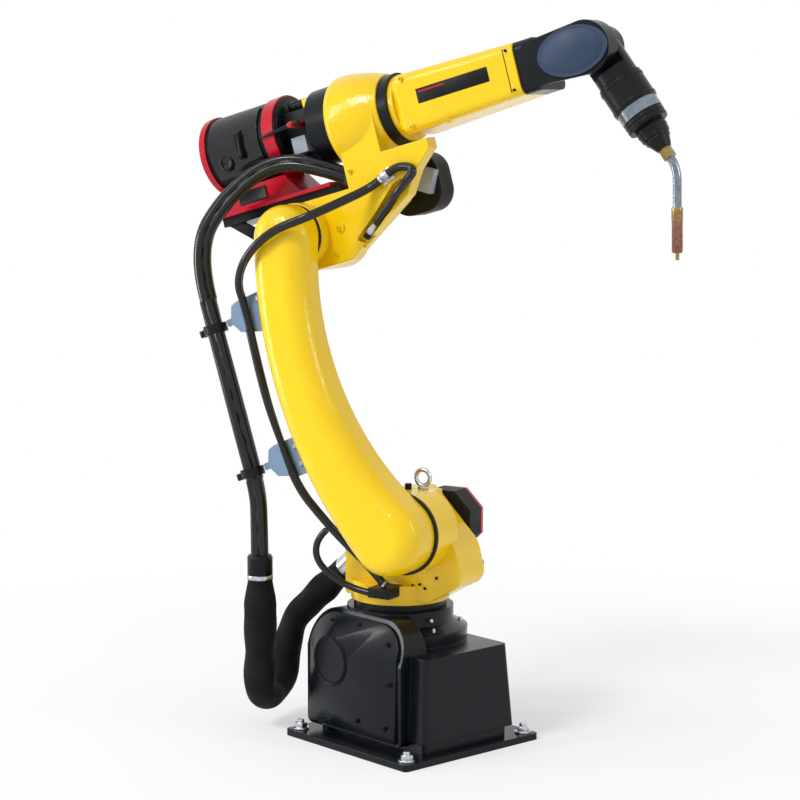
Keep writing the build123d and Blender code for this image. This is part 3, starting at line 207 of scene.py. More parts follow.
def turned_metal(name, colour, stain, rough, groove=0.0008, edge=0.0006):
    """Turned or plated metal: fine tool lines, with faint heat and handling stains."""
    material, output = new_material(name)
    place = add_node(material, "ShaderNodeTexCoord", {}, {})
    here = {"Vector": (place, "Object")}
    stains = add_node(material, "ShaderNodeTexNoise", {"Scale": 1 / 0.012, "Detail": 5}, here)
    amount = add_node(material, "ShaderNodeMapRange", {"From Min": 0.4, "From Max": 0.72}, {"Value": (stains, "Fac")})
    base = blend_colours(material, linear(colour), linear(stain), (amount, 0))
    dull = add_node(
        material,
        "ShaderNodeMapRange",
        {"From Min": 0.3, "From Max": 0.7, "To Min": rough * 0.7, "To Max": rough * 1.4},
        {"Value": (stains, "Fac")},
    )
    lines = add_node(material, "ShaderNodeTexNoise", {"Scale": 1 / groove, "Detail": 3}, here)
    rounded = add_node(material, "ShaderNodeBevel", {"samples": 4, "Radius": edge}, {})
    relief = add_node(
        material,
        "ShaderNodeBump",
        {"Strength": 0.3, "Distance": 0.0001},
        {"Height": (lines, "Fac"), "Normal": (rounded, 0)},
    )
    metal = add_node(
        material,
        "ShaderNodeBsdfPrincipled",
        {"Metallic": 1.0},
        {"Base Color": (base, 2), "Roughness": (dull, 0), "Normal": (relief, 0)},
    )
    material.node_tree.links.new(metal.outputs[0], output.inputs[0])
    return material


def wrapped_skin(name, colour, tone, rough, pitch, depth, shine):
    """Skin of a hose or sleeve: threads cross on the piece's own map, u along it and v round it, in metres."""
    material, output = new_material(name)
    place = add_node(material, "ShaderNodeTexCoord", {}, {})
    one_way = add_node(
        material, "ShaderNodeMapping", {"Rotation": (0, 0, radians(45))}, {"Vector": (place, "UV")}
    )
    other_way = add_node(
        material, "ShaderNodeMapping", {"Rotation": (0, 0, radians(-45))}, {"Vector": (place, "UV")}
    )
    # A wave texture repeats every 2 pi / 20 of its own unit
    wave = {"Scale": 0.314 / pitch}
    first = add_node(material, "ShaderNodeTexWave", wave, {"Vector": (one_way, 0)})
    second = add_node(material, "ShaderNodeTexWave", wave, {"Vector": (other_way, 0)})
    weave = add_node(material, "ShaderNodeMath", {"operation": "MAXIMUM"}, {0: (first, 1), 1: (second, 1)})
    dust = add_node(material, "ShaderNodeTexNoise", {"Scale": 1 / 0.03, "Detail": 5}, {"Vector": (place, "Object")})
    shade = add_node(material, "ShaderNodeMath", {"operation": "MULTIPLY"}, {0: (weave, 0), 1: (dust, "Fac")})
    base = blend_colours(material, linear(colour), linear(tone), (shade, 0))
    relief = add_node(material, "ShaderNodeBump", {"Strength": 0.8, "Distance": depth}, {"Height": (weave, 0)})
    worn = add_node(
        material,
        "ShaderNodeMapRange",
        {"From Min": 0.3, "From Max": 0.7, "To Min": rough * 0.8, "To Max": rough * 1.3},
        {"Value": (dust, "Fac")},
    )
    skin = add_node(
        material,
        "ShaderNodeBsdfPrincipled",
        {"Specular IOR Level": shine},
        {"Base Color": (base, 2), "Roughness": (worn, 0), "Normal": (relief, 0)},
    )
    material.node_tree.links.new(skin.outputs[0], output.inputs[0])
    return material


# Gloss yellow enamel: rich colour under a clear wet-looking skin with orange peel
yellow_enamel = painted_casting(
    "yellow_enamel",
    "#F9D200",
    "#F2C600",
    speck="#7A5A10",
    rough=0.24,
    peel_size=0.007,
    peel_depth=0.0012,
    edge=0.004,
    shine=0.25,
    coat=0.4,
)
# Near-black semi-gloss enamel of the base: slightly blue, with a soft broad shine
base_enamel = painted_casting(
    "base_enamel", "#0B0F14", "#11161D", speck="#2C3136", rough=0.22, edge=0.003, shine=0.20
)
# Satin black enamel of the rings, shelf and wrist
black_enamel = painted_casting(
    "black_enamel", "#0B0D10", "#111418", speck="#34363A", rough=0.28, peel_size=0.002, shine=0.20
)
# Satin blue-grey enamel of the cable brackets
bracket_enamel = painted_casting(
    "bracket_enamel", "#748BA6", "#7E94AE", speck="#5A6674", rough=0.42, peel_size=0.002, edge=0.001, shine=0.3
)
# Darker blue-grey enamel of the wrist's oval cover
slate_enamel = painted_casting(
    "slate_enamel", "#2A3B55", "#33455F", speck="#20262E", rough=0.38, peel_size=0.002, edge=0.0015, shine=0.3
)
# Matt black motor paint, a little brown
motor_enamel = painted_casting("motor_enamel", "#141311", "#1A1815", speck="#332F2A", rough=0.5, shine=0.2)
# Gloss red enamel of the feeder's sheet metal
red_enamel = painted_casting(
    "red_enamel",
    "#B90E26",
    "#C2142C",
    speck="#4E0810",
    rough=0.24,
    peel_size=0.004,
    peel_depth=0.0002,
    shine=0.25,
    coat=0.15,
)
# Matt grey finish of the motor's cast aluminium connector block
cast_aluminium = painted_casting(
    "cast_aluminium", "#A3ACB6", "#8E98A4", speck="#4A5058", rough=0.45, peel_size=0.002, edge=0.001, shine=0.5
)
# Moulded red plastic of the motor's end cap
red_plastic = moulded_plastic("red_plastic", "#C4121F", "#B51220", rough=0.3, grain=0.0012, shine=0.5, edge=0.002)
# Moulded black plastic, satin and lightly dusty
black_plastic = moulded_plastic(
    "black_plastic", "#0A0B0D", "#171A1E", rough=0.34, grain=0.0012, shine=0.2, edge=0.0015
)
# Smoked glossy plastic of the feeder's door, a little blue
smoked_plastic = moulded_plastic(
    "smoked_plastic", "#0A0E14", "#131A22", rough=0.09, grain=0.03, shine=0.45, edge=0.0015
)
# Black rubber of the joint seals
seal_rubber = moulded_plastic("seal_rubber", "#0F1011", "#1A1B1C", rough=0.5, grain=0.0012, shine=0.3, edge=0.001)
# Zinc-plated steel of bolts and fittings: pale and slightly cloudy
plated_steel = turned_metal("plated_steel", "#C9CCD0", "#A9ACB2", rough=0.26)
# Polished steel of the clamp ring and the torch's neck: darker than the plating, a little blue
polished_steel = turned_metal("polished_steel", "#87929E", "#6B7682", rough=0.16)
# Brass of the torch's nut, the nozzle's collar and the contact tip
brass = turned_metal("brass", "#A48C5E", "#77603A", rough=0.24)
# Copper of the nozzle, browned by heat
copper = turned_metal("copper", "#98705C", "#6B4638", rough=0.22)
# Polyamide jacket of the conduits: black and glossy
conduit_skin = wrapped_skin(
    "conduit_skin", "#08090B", "#121418", rough=0.17, pitch=0.0035, depth=0.00005, shine=0.4
)
# Braided cable sleeve, matt black
braided_sleeve = wrapped_skin(
    "braided_sleeve", "#0C0D0F", "#1E2023", rough=0.75, pitch=0.0045, depth=0.0006, shine=0.15
)

# Finish of each material slot in the record
finishes = {
    "base_paint": base_enamel,
    "black_paint": black_enamel,
    "yellow_paint": yellow_enamel,
    "grey_paint": bracket_enamel,
    "fork_grey": slate_enamel,
    "motor_black": motor_enamel,
    "motor_red": red_plastic,
    "feeder_red": red_enamel,
    "black_plastic": black_plastic,
    "seal_rubber": seal_rubber,
    "hose_rubber": conduit_skin,
    "sleeve_fabric": braided_sleeve,
    "steel": plated_steel,
    "brass": brass,
    "copper": copper,
}

for subpart in frame["record"]["subparts"]:
    solid = frame["nodes"][subpart["node"]]
    solid.data.materials.clear()
    solid.data.materials.append(finishes[subpart["material_slot"]])
frame["nodes"]["feeder_door"].data.materials[0] = smoked_plastic
for node in ("elbow_motor_socket", "drive_socket"):
    frame["nodes"][node].data.materials[0] = cast_aluminium
for node in ("clamp_ring", "torch_neck"):
    frame["nodes"][node].data.materials[0] = polished_steel
frame["nodes"]["contact_tip"].data.materials[0] = brass


# Modelling
def clear_selection():
    """Leaves nothing selected and no piece open."""
    if bpy.context.mode != "OBJECT":
        bpy.ops.object.mode_set(mode="OBJECT")
    bpy.ops.object.select_all(action="DESELECT")


def disc(radius, height, low, sides=32):
    """Starts a round piece that stands on this level and rises along z."""
    clear_selection()
    middle = (0, 0, low + height / 2)
    bpy.ops.mesh.primitive_cylinder_add(vertices=sides, radius=radius, depth=height, location=middle)
    bpy.ops.object.transform_apply(location=True, rotation=True, scale=True)
    return bpy.context.active_object


def block(size, middle):
    """Starts a square piece of this size round this middle."""
    clear_selection()
    bpy.ops.mesh.primitive_cube_add(size=1, location=middle, scale=size)
    bpy.ops.object.transform_apply(location=True, rotation=True, scale=True)
    return bpy.context.active_object


def choose(piece, test):
    """Opens the piece with only those faces selected whose middle and normal pass the test."""
    bpy.ops.object.mode_set(mode="EDIT")
    bpy.ops.mesh.select_mode(type="FACE")
    bpy.ops.mesh.select_all(action="DESELECT")
    bpy.ops.object.mode_set(mode="OBJECT")
    for face in piece.data.polygons:
        face.select = test(face.center, face.normal)
    bpy.ops.object.mode_set(mode="EDIT")


def choose_edges(piece, test):
    """Opens the piece with only those edges selected whose two ends pass the test."""
    bpy.ops.object.mode_set(mode="EDIT")
    bpy.ops.mesh.select_mode(type="EDGE")
    bpy.ops.mesh.select_all(action="DESELECT")
    bpy.ops.object.mode_set(mode="OBJECT")
    corners = piece.data.vertices
    for edge in piece.data.edges:
        edge.select = test(*(corners[number].co for number in edge.vertices))
    bpy.ops.object.mode_set(mode="EDIT")


def step(piece, inset, rise):
    """Gives the piece's top a step: a negative inset makes it wider, and a negative rise sinks it."""
    highest = max(vertex.co.z for vertex in piece.data.vertices)
    choose(piece, lambda middle, normal: middle.z > highest - 1e-5 and normal.z > 0.9)
    bpy.ops.mesh.inset(thickness=inset)
    bpy.ops.mesh.extrude_region_move(TRANSFORM_OT_translate={"value": (0, 0, rise)})
    bpy.ops.object.mode_set(mode="OBJECT")


def soften(piece, width, segments=2):
    """Rounds the piece's sharp edges."""
    clear_selection()
    piece.select_set(True)
    bpy.context.view_layer.objects.active = piece
    edge = piece.modifiers.new("edge", "BEVEL")
    edge.width = width
    edge.segments = segments
    edge.angle_limit = radians(35)
    bpy.ops.object.modifier_apply(modifier=edge.name)


def shade(piece, angle=40):
    """Shades the piece smooth, apart from its sharp edges."""
    clear_selection()
    piece.select_set(True)
    bpy.context.view_layer.objects.active = piece
    bpy.ops.object.shade_smooth_by_angle(angle=radians(angle))


def settle(piece, name, place, body, material):
    """Names a piece, puts its place in its mesh, gives it its finish and lets it ride on its body."""
    piece.name = name
    piece.data.name = name
    piece.data.transform(place)
    shade(piece)
    piece.data.materials.clear()
    piece.data.materials.append(material)
    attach(piece, body)
    return piece


def join(pieces):
    """Joins pieces into the first one."""
    clear_selection()
    for piece in pieces:
        piece.select_set(True)
    bpy.context.view_layer.objects.active = pieces[0]
    bpy.ops.object.join()
    return pieces[0]


def copy_to(pattern, places):
    """Copies a pattern to each place with its own mesh, and joins the copies into one piece."""
    copies = []
    for place in places:
        twin = pattern.copy()
        twin.data = pattern.data.copy()
        twin.data.transform(place)
        bpy.context.scene.collection.objects.link(twin)
        copies.append(twin)
    return join(copies)


def at(x, y, z):
    """Matrix that carries a piece to this place in its link's frame."""
    return Matrix.Translation((x, y, z))


def turned(angle, axis="Z"):
    """Matrix that turns a piece by this many degrees."""
    return Matrix.Rotation(radians(angle), 4, axis)


def two_finishes(piece, material, test):
    """Gives this second finish to those faces whose middle passes the test."""
    piece.data.materials.append(material)
    for face in piece.data.polygons:
        face.material_index = int(test(face.center))


# Places that pieces share, in metres in their link's frame
COVER_FACE = 0.150
COVER_BEND = 0.190
COVER_LEAN = 1 / 3
COVER_TILT = 18.4
BLANK_MIDDLE = (-0.045, 0.172)
TURRET_FACE = 0.0658
BRACKET_FACE = 0.1479
ELBOW_FACE = 0.0818
RIB_FACE = 0.0848
FEEDER_RISE = 0.212
FORK_FACE = 0.0638
HOSE_LINE = 0.152
HARNESS_LINE = 0.1573
GLAND_SPOT = (0.154, -0.033, 0.0777)
GLAND_TURN = 36

# Socket head screw: a round head with its socket, and the size of a smaller one beside it
socket_screw = disc(radius=0.0045, height=0.005, low=0, sides=24)
step(socket_screw, inset=0.0018, rise=-0.003)
soften(socket_screw, width=0.0004)
SMALLER = Matrix.Diagonal((0.65, 0.65, 0.65, 1.0))

# Hexagon bolt on its washer, with the stud's end above it
washer = disc(radius=0.017, height=0.003, low=0)
step(washer, inset=0.0015, rise=0.0004)
hexagon = disc(radius=0.0135, height=0.010, low=0.003, sides=6)
step(hexagon, inset=0.0018, rise=0.0008)
stud = disc(radius=0.007, height=0.006, low=0.0135, sides=24)
step(stud, inset=0.001, rise=0.001)
anchor = join([washer, hexagon, stud])
soften(anchor, width=0.0006)

# Base
PLATE_MIDDLE = 0.035
PLATE_TOP = 0.0142
anchor_places = [at(PLATE_MIDDLE + x, y, PLATE_TOP) for x in (-0.164, 0.164) for y in (-0.161, 0.161)]
settle(copy_to(anchor, anchor_places), "anchor_bolts", BASE, "base", plated_steel)


def on_cover(x, z):
    """Place of a screw on the base's side cover, which leans inwards above its bend."""
    if z < COVER_BEND:
        return at(x, 0.0002 - COVER_FACE, z) @ AWAY_FROM_COVER
    lean = (z - COVER_BEND) * COVER_LEAN
    return at(x, 0.0003 - COVER_FACE + lean, z) @ AWAY_FROM_COVER @ turned(COVER_TILT, "X")


cover_screws = [
    on_cover(x, z)
    for x, z in (
        (0.131, 0.152),
        (0.036, 0.060),
        (-0.110, 0.100),
        (0.120, 0.060),
        (-0.062, 0.252),
        (0.020, 0.256),
        (0.114, 0.232),
    )
]
settle(copy_to(socket_screw, cover_screws), "cover_screws", BASE, "base", black_enamel)

# Side cover: a shallow cone from its D-shaped rim up to a round blank, made lying down with its face up
CONE_TOP = 0.0115
side_cover = block(size=(0.266, 0.232, 0.009), middle=(0.013, 0.150, 0.002))
choose_edges(side_cover, lambda one, two: abs(one.z - two.z) > 0.005 and one.y > 0.2)
bpy.ops.mesh.bevel(offset=0.062, segments=24)
choose(side_cover, lambda middle, normal: normal.z > 0.9)
bpy.ops.mesh.delete(type="FACE")
bpy.ops.mesh.primitive_circle_add(vertices=96, radius=0.052, location=(*BLANK_MIDDLE, CONE_TOP))
choose_edges(side_cover, lambda one, two: min(one.z, two.z) > 0.005)
bpy.ops.mesh.bridge_edge_loops()
bpy.ops.object.mode_set(mode="OBJECT")
for corner in side_cover.data.vertices:
    if corner.co.y > COVER_BEND and corner.co.z < 0.010:
        corner.co.z -= (corner.co.y - COVER_BEND) * COVER_LEAN

# Blank: a flat ring, then a raised ring with a sunk middle
cover_blank = disc(radius=0.0515, height=0.0004, low=0.0114, sides=96)
for inset, rise in ((0.0045, 0), (0.0010, 0.0026), (0.0060, 0), (0.0015, -0.0010)):
    step(cover_blank, inset, rise)
cover_blank.data.transform(at(*BLANK_MIDDLE, 0))
side_cover = join([side_cover, cover_blank])
soften(side_cover, width=0.001)
settle(side_cover, "side_cover_cone", at(0, -0.140, 0) @ AWAY_FROM_COVER, "base", base_enamel)
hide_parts("base_side_cover", "base_cover_blank")

# Pins round the turning ring: four in its side, six in its flange
ring_pin = disc(radius=0.004, height=0.012, low=0, sides=20)
step(ring_pin, inset=0.001, rise=0.0015)
soften(ring_pin, width=0.0005)
side_pins = [turned(angle) @ at(0.1095, 0, 0.262) @ ALONG_X for angle in (-10, 80, 170, 260)]
flange_pins = [turned(angle) @ at(0.1245, 0, 0.234) for angle in (-9, 51, 111, 171, 231, 291)]
settle(copy_to(ring_pin, side_pins + flange_pins), "ring_pins", BASE, "base", plated_steel)

air_port = disc(radius=0.009, height=0.012, low=0, sides=6)
step(air_port, inset=0.002, rise=0.012)
step(air_port, inset=0.001, rise=0.004)
soften(air_port, width=0.0006)
port_place = at(-0.1275, -0.085, 0.060) @ turned(-90, "Y")
settle(air_port, "base_air_port", port_place, "base", brass)

# Turret
eye_shank = disc(radius=0.011, height=0.006, low=0.528, sides=40)
step(eye_shank, inset=0.003, rise=0.004)
bpy.ops.mesh.primitive_torus_add(
    major_radius=0.016,
    minor_radius=0.0046,
    major_segments=48,
    minor_segments=16,
    location=(0, 0, 0.552),
    rotation=(pi / 2, 0, 0),
)
bpy.ops.object.transform_apply(location=True, rotation=True, scale=True)
lifting_eye = join([eye_shank, bpy.context.active_object])
soften(lifting_eye, width=0.0008)
eye_place = Matrix.Translation(TURRET @ Vector((0.075, 0, 0.036))) @ Matrix.Rotation(REST_TURN, 4, "Z")
settle(lifting_eye, "lifting_eye", eye_place, "turret", plated_steel)
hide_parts("eye_bolt")

turret_screws = [
    at(x, y, TURRET_FACE) @ SMALLER for x, y in ((0.069, 0.334), (0.086, 0.338), (0.098, 0.331), (0.125, 0.355))
]
settle(copy_to(socket_screw, turret_screws), "turret_screws", TURRET, "turret", black_enamel)

# Clamp that holds the harness and its loop at the turret's foot
clamp_body = block(size=(0.050, 0.020, 0.060), middle=(0.026, 0.3235, 0.100))
step(clamp_body, inset=0.002, rise=0.0015)
soften(clamp_body, width=0.004, segments=4)
settle(clamp_body, "harness_clamp_body", TURRET, "turret", black_plastic)
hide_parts("harness_clamp")
foot_band = disc(radius=0.010, height=0.0055, low=-0.00275, sides=40)
step(foot_band, inset=0.0006, rise=0.0004)
soften(foot_band, width=0.0006)
band_place = TURRET @ at(0.0345, 0.3420, 0.1175) @ turned(-24) @ ALONG_X
settle(foot_band, "harness_foot_band", band_place, "turret", plated_steel)

CAP_FACE = -0.0998
SCREW_CIRCLE = 0.050
motor_screws = [
    at(SHOULDER_FORWARD + SCREW_CIRCLE * cos(angle), SHOULDER_HEIGHT + SCREW_CIRCLE * sin(angle), CAP_FACE)
    @ turned(180, "X")
    for angle in (pi / 4, 3 * pi / 4, 5 * pi / 4, 7 * pi / 4)
]
settle(copy_to(socket_screw, motor_screws), "motor_cap_screws", TURRET, "turret", black_enamel)

# Elbow
elbow_screws = [
    at(0.091, -0.007, RIB_FACE),
    at(0.146, 0.096, ELBOW_FACE),
    at(0.070, -0.056, ELBOW_FACE),
    at(0.141, -0.056, ELBOW_FACE),
]
settle(copy_to(socket_screw, elbow_screws), "elbow_screws", ELBOW, "elbow", yellow_enamel)

# Boss of the elbow's casting, with its seal against the arm
seal_boss = disc(radius=0.0665, height=0.028, low=ELBOW_FACE, sides=96)
step(seal_boss, inset=0.0005, rise=0.0018)
step(seal_boss, inset=0.0020, rise=0.0006)
step(seal_boss, inset=-0.0015, rise=0.0115)
soften(seal_boss, width=0.0008)
settle(seal_boss, "elbow_seal_boss", ELBOW, "elbow", yellow_enamel)
two_finishes(seal_boss, black_enamel, lambda middle: (ELBOW.inverted() @ middle).z > 0.1120)
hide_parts("elbow_seal")

# Clamp on the elbow: two bands round the harness, on a foot
clamp_foot = block(size=(0.030, 0.026, 0.0030), middle=(0, 0, 0.0014))
step(clamp_foot, inset=0.003, rise=0.0008)
soften(clamp_foot, width=0.0005)
harness_bands = [clamp_foot]
for shift in (-0.0085, 0.0085):
    harness_band = disc(radius=0.0103, height=0.0055, low=-0.00275, sides=40)
    step(harness_band, inset=0.0006, rise=0.0004)
    soften(harness_band, width=0.0006)
    harness_band.data.transform(at(shift, 0, 0.0092) @ ALONG_X)
    harness_bands.append(harness_band)
bands_place = ELBOW @ at(0.226, 0.066, 0.082) @ turned(21)
settle(join(harness_bands), "harness_bands", bands_place, "elbow", plated_steel)
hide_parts("harness_loop_clamp")

# Gland in the casting's recess where the harness ends, with the plug behind it
gland_place = ELBOW @ at(*GLAND_SPOT) @ turned(GLAND_TURN) @ ALONG_X
gland_nut = disc(radius=0.0095, height=0.010, low=0, sides=6)
step(gland_nut, inset=0.0012, rise=0.004)
step(gland_nut, inset=0.0008, rise=0.010)
soften(gland_nut, width=0.0006)
settle(gland_nut, "harness_gland_nut", gland_place, "elbow", plated_steel)
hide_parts("harness_gland")
recess_plug = disc(radius=0.0078, height=0.012, low=-0.012, sides=24)
step(recess_plug, inset=0.001, rise=0.001)
soften(recess_plug, width=0.0006)
settle(recess_plug, "recess_plug", gland_place, "elbow", black_plastic)

# Wire drive: lever over the red band, its knob, two connectors, a tab and a lid
drive_lever = block(size=(0.100, 0.012, 0.006), middle=(-0.036, 0, 0))
choose(drive_lever, lambda middle, normal: normal.x < -0.9)
bpy.ops.transform.resize(value=(1, 0.35, 0.6), center_override=(-0.086, 0, 0))
bpy.ops.object.mode_set(mode="OBJECT")
soften(drive_lever, width=0.0012)
lever_place = ELBOW @ at(0.044, 0.221, 0.089) @ turned(4)
settle(drive_lever, "drive_lever", lever_place, "elbow", black_plastic)
lever_knob = disc(radius=0.007, height=0.048, low=0.042)
step(lever_knob, inset=-0.003, rise=0.002)
step(lever_knob, inset=0.001, rise=0.006)
soften(lever_knob, width=0.0008)
settle(lever_knob, "drive_lever_knob", ELBOW @ at(0.040, 0.221, 0), "elbow", red_enamel)

connector = disc(radius=0.013, height=0.020, low=0)
step(connector, inset=0.0015, rise=0.004)
step(connector, inset=-0.0015, rise=0.016)
step(connector, inset=0.003, rise=0.006)
soften(connector, width=0.0008)
connector_places = [at(0.004, 0.264, 0.020) @ ALONG_X, at(0.006, 0.262, -0.016) @ ALONG_X]
connectors = copy_to(connector, connector_places)
settle(connectors, "drive_connectors", ELBOW, "elbow", black_plastic)

drive_tab = block(size=(0.014, 0.022, 0.004), middle=(0, 0.009, 0))
step(drive_tab, inset=0.002, rise=0.0006)
soften(drive_tab, width=0.001)
settle(drive_tab, "drive_tab", ELBOW @ at(0.052, 0.252, 0.038), "elbow", yellow_enamel)
drive_lid = block(size=(0.062, 0.060, 0.003), middle=(0, 0, 0.0014))
step(drive_lid, inset=0.003, rise=0.0012)
soften(drive_lid, width=0.0008)
settle(drive_lid, "drive_lid", ELBOW @ at(0.026, 0.222, 0.042), "elbow", black_plastic)

# Feeder's door: a tapered handle and a knob
door_handle = block(size=(0.018, 0.060, 0.016), middle=(0, 0, 0.006))
choose(door_handle, lambda middle, normal: normal.z > 0.9)
bpy.ops.transform.resize(value=(0.55, 0.8, 1), center_override=(0, 0, 0.014))
bpy.ops.object.mode_set(mode="OBJECT")
step(door_handle, inset=0.0015, rise=-0.001)
soften(door_handle, width=0.0015)
settle(door_handle, "door_handle", ELBOW @ at(-0.098, 0.214, 0.080), "elbow", black_plastic)
door_knob = disc(radius=0.019, height=0.010, low=0.070, sides=12)
step(door_knob, inset=0.002, rise=0.004)
step(door_knob, inset=0.005, rise=-0.003)
soften(door_knob, width=0.0012)
settle(door_knob, "door_knob", ELBOW @ at(-0.142, 0.188, 0), "elbow", black_plastic)

# Panel on the feeder's plinth, and the black faces of its band and end cap
side_panel = block(size=(0.070, 0.026, 0.0030), middle=(0, 0, 0.0012))
step(side_panel, inset=0.0015, rise=-0.0006)
soften(side_panel, width=0.0006)
panel_place = ELBOW @ at(-0.120, 0.112, 0.046)
settle(side_panel, "feeder_side_panel", panel_place, "elbow", black_plastic)
band_face = disc(radius=0.080, height=0.003, low=0, sides=64)
step(band_face, inset=0.006, rise=0.002)
band_face.data.transform(ALONG_X)
choose(band_face, lambda middle, normal: True)
bpy.ops.mesh.bisect(plane_co=(0, -0.074, 0), plane_no=(0, 1, 0), clear_inner=True, use_fill=True)
bpy.ops.object.mode_set(mode="OBJECT")
soften(band_face, width=0.0006)
band_face_place = ELBOW @ at(-0.0119, FEEDER_RISE, 0)
settle(band_face, "feeder_band_face", band_face_place, "elbow", black_plastic)
cap_face = disc(radius=0.074, height=0.004, low=0, sides=64)
step(cap_face, inset=0.004, rise=0.0015)
step(cap_face, inset=0.030, rise=-0.001)
soften(cap_face, width=0.0006)
cap_face_place = ELBOW @ at(-0.2015, FEEDER_RISE, 0) @ turned(-90, "Y")
settle(cap_face, "feeder_cap_face", cap_face_place, "elbow", black_plastic)

# Cable brackets and clamps on the arm
bracket_screws = [
    at(x, y, BRACKET_FACE) for x, y in ((-0.112, 0.552), (-0.112, 0.508), (-0.150, 0.244), (-0.150, 0.206))
]
settle(copy_to(socket_screw, bracket_screws), "bracket_screws", ARM, "arm", plated_steel)
clamp_lug = block(size=(0.012, 0.014, 0.020), middle=(0, 0, 0))
step(clamp_lug, inset=0.002, rise=0.001)
soften(clamp_lug, width=0.0012)
lug_places = [at(-0.2622, 0.530, HOSE_LINE), at(-0.2973, 0.228, HOSE_LINE)]
settle(copy_to(clamp_lug, lug_places), "hose_clamp_lugs", ARM, "arm", black_plastic)

# Screws of the feeder's shelf
shelf_screws = [at(0.088, ELBOW_FACE, z) @ ALONG_Y for z in (-0.030, 0, 0.030)]
settle(copy_to(socket_screw, shelf_screws), "shelf_screws", ELBOW, "elbow", plated_steel)

# Raised middle of the wrist's oval cover
OVAL_STRETCH = 1.62
cover_face = disc(radius=0.040, height=0.0012, low=FORK_FACE, sides=64)
step(cover_face, inset=0.004, rise=0.0010)
cover_face.data.transform(Matrix.Diagonal((OVAL_STRETCH, 1, 1, 1)))
soften(cover_face, width=0.0004)
settle(cover_face, "fork_cover_face", ELBOW @ at(0.676, FOREARM_RISE, 0), "forearm", slate_enamel)

# The forearm's right side narrows towards the wrist
FOREARM_START = 0.2833
FOREARM_FACE = 0.066
NARROWING = 0.0149


def on_forearm(x, y):
    """Place on the forearm's right side."""
    return at(x, y, FOREARM_FACE - (x - FOREARM_START) * NARROWING) @ turned(0.85, "Y")


forearm_screws = [on_forearm(x, y) for x, y in ((0.384, 0.136), (0.300, 0.146), (0.300, 0.244))]
settle(copy_to(socket_screw, forearm_screws), "forearm_screws", ELBOW, "forearm", yellow_enamel)

# Seam where the forearm's end plate meets its tube, with a black screw at each end
seam_line = block(size=(0.0016, 0.086, 0.0008), middle=(0, 0, 0.0001))
step(seam_line, inset=0.0003, rise=0.0002)
settle(seam_line, "forearm_seam", ELBOW @ on_forearm(0.531, 0.195), "forearm", black_enamel)
seam_screws = [on_forearm(0.538, y) @ SMALLER for y in (0.156, 0.234)]
settle(copy_to(socket_screw, seam_screws), "forearm_seam_screws", ELBOW, "forearm", black_enamel)

# Plain dark trim strip on the forearm's side, with a red line
trim_strip = block(size=(0.164, 0.029, 0.0010), middle=(0, 0, 0.0004))
step(trim_strip, inset=0.0012, rise=0.0003)
soften(trim_strip, width=0.0003)
strip_place = ELBOW @ on_forearm(0.408, 0.2015)
settle(trim_strip, "forearm_strip", strip_place, "forearm", black_plastic)
red_line = block(size=(0.060, 0.0035, 0.0008), middle=(0, 0, 0.0010))
step(red_line, inset=0.0004, rise=0.0002)
line_place = ELBOW @ on_forearm(0.362, 0.2095)
settle(red_line, "forearm_strip_line", line_place, "forearm", red_enamel)

# Steps and ribs round the tool's flange and the torch's holder: radius, start and length of each
HOLDER_RINGS = (
    (0.0462, 0.086, 0.005),
    (0.0462, 0.130, 0.006),
    (0.0420, 0.166, 0.006),
    (0.0420, 0.176, 0.004),
    (0.0312, 0.187, 0.012),
    (0.0292, 0.206, 0.004),
    (0.0258, 0.214, 0.004),
)
holder_rings = []
for ring_radius, start, length in HOLDER_RINGS:
    ring = disc(radius=ring_radius, height=length, low=start, sides=48)
    step(ring, inset=0.0007, rise=0.0007)
    soften(ring, width=0.0004)
    holder_rings.append(ring)
settle(join(holder_rings), "torch_holder_rings", WRIST @ ALONG_X, "tool", black_plastic)

# Torch nozzle, turned: a brass collar, then a copper tube with a chamfered open mouth
NOZZLE_COLLAR = 0.026
nozzle_tube = disc(radius=0.0112, height=0.004, low=0, sides=48)
step(nozzle_tube, inset=-0.0006, rise=0.022)
step(nozzle_tube, inset=0.0006, rise=0.058)
step(nozzle_tube, inset=0.0008, rise=0.002)
step(nozzle_tube, inset=0.0022, rise=-0.012)
soften(nozzle_tube, width=0.0004)
settle(nozzle_tube, "nozzle_tube", NOZZLE @ ALONG_X, "tool", copper)
two_finishes(nozzle_tube, brass, lambda middle: (NOZZLE.inverted() @ middle).x < NOZZLE_COLLAR)
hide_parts("torch_nozzle")


# Hoses
def route(points):
    """Returns the points of a smooth line that has these control points."""
    curve = bpy.data.curves.new("route", "CURVE")
    curve.dimensions = "3D"
    curve.resolution_u = 32
    spline = curve.splines.new("NURBS")
    spline.points.add(len(points) - 1)
    for knot, point in zip(spline.points, points):
        knot.co = (*point, 1)
    spline.order_u = 3
    spline.use_endpoint_u = True
    line = bpy.data.objects.new("route", curve)
    mesh = bpy.data.meshes.new_from_object(line)
    places = [vertex.co.copy() for vertex in mesh.vertices]
    bpy.data.objects.remove(line)
    bpy.data.meshes.remove(mesh)
    return places


def even_steps(line, gap):
    """Returns points this far apart along the line, with its last point."""
    steps = [line[0]]
    left = gap
    for near, far in zip(line, line[1:]):
        run = (far - near).length
        walked = 0
        while run - walked >= left:
            walked += left
            steps.append(near.lerp(far, walked / run))
            left = gap
        left -= run - walked
    if (steps[-1] - line[-1]).length > gap / 2:
        steps.append(line[-1])
    else:
        steps[-1] = line[-1]
    return steps


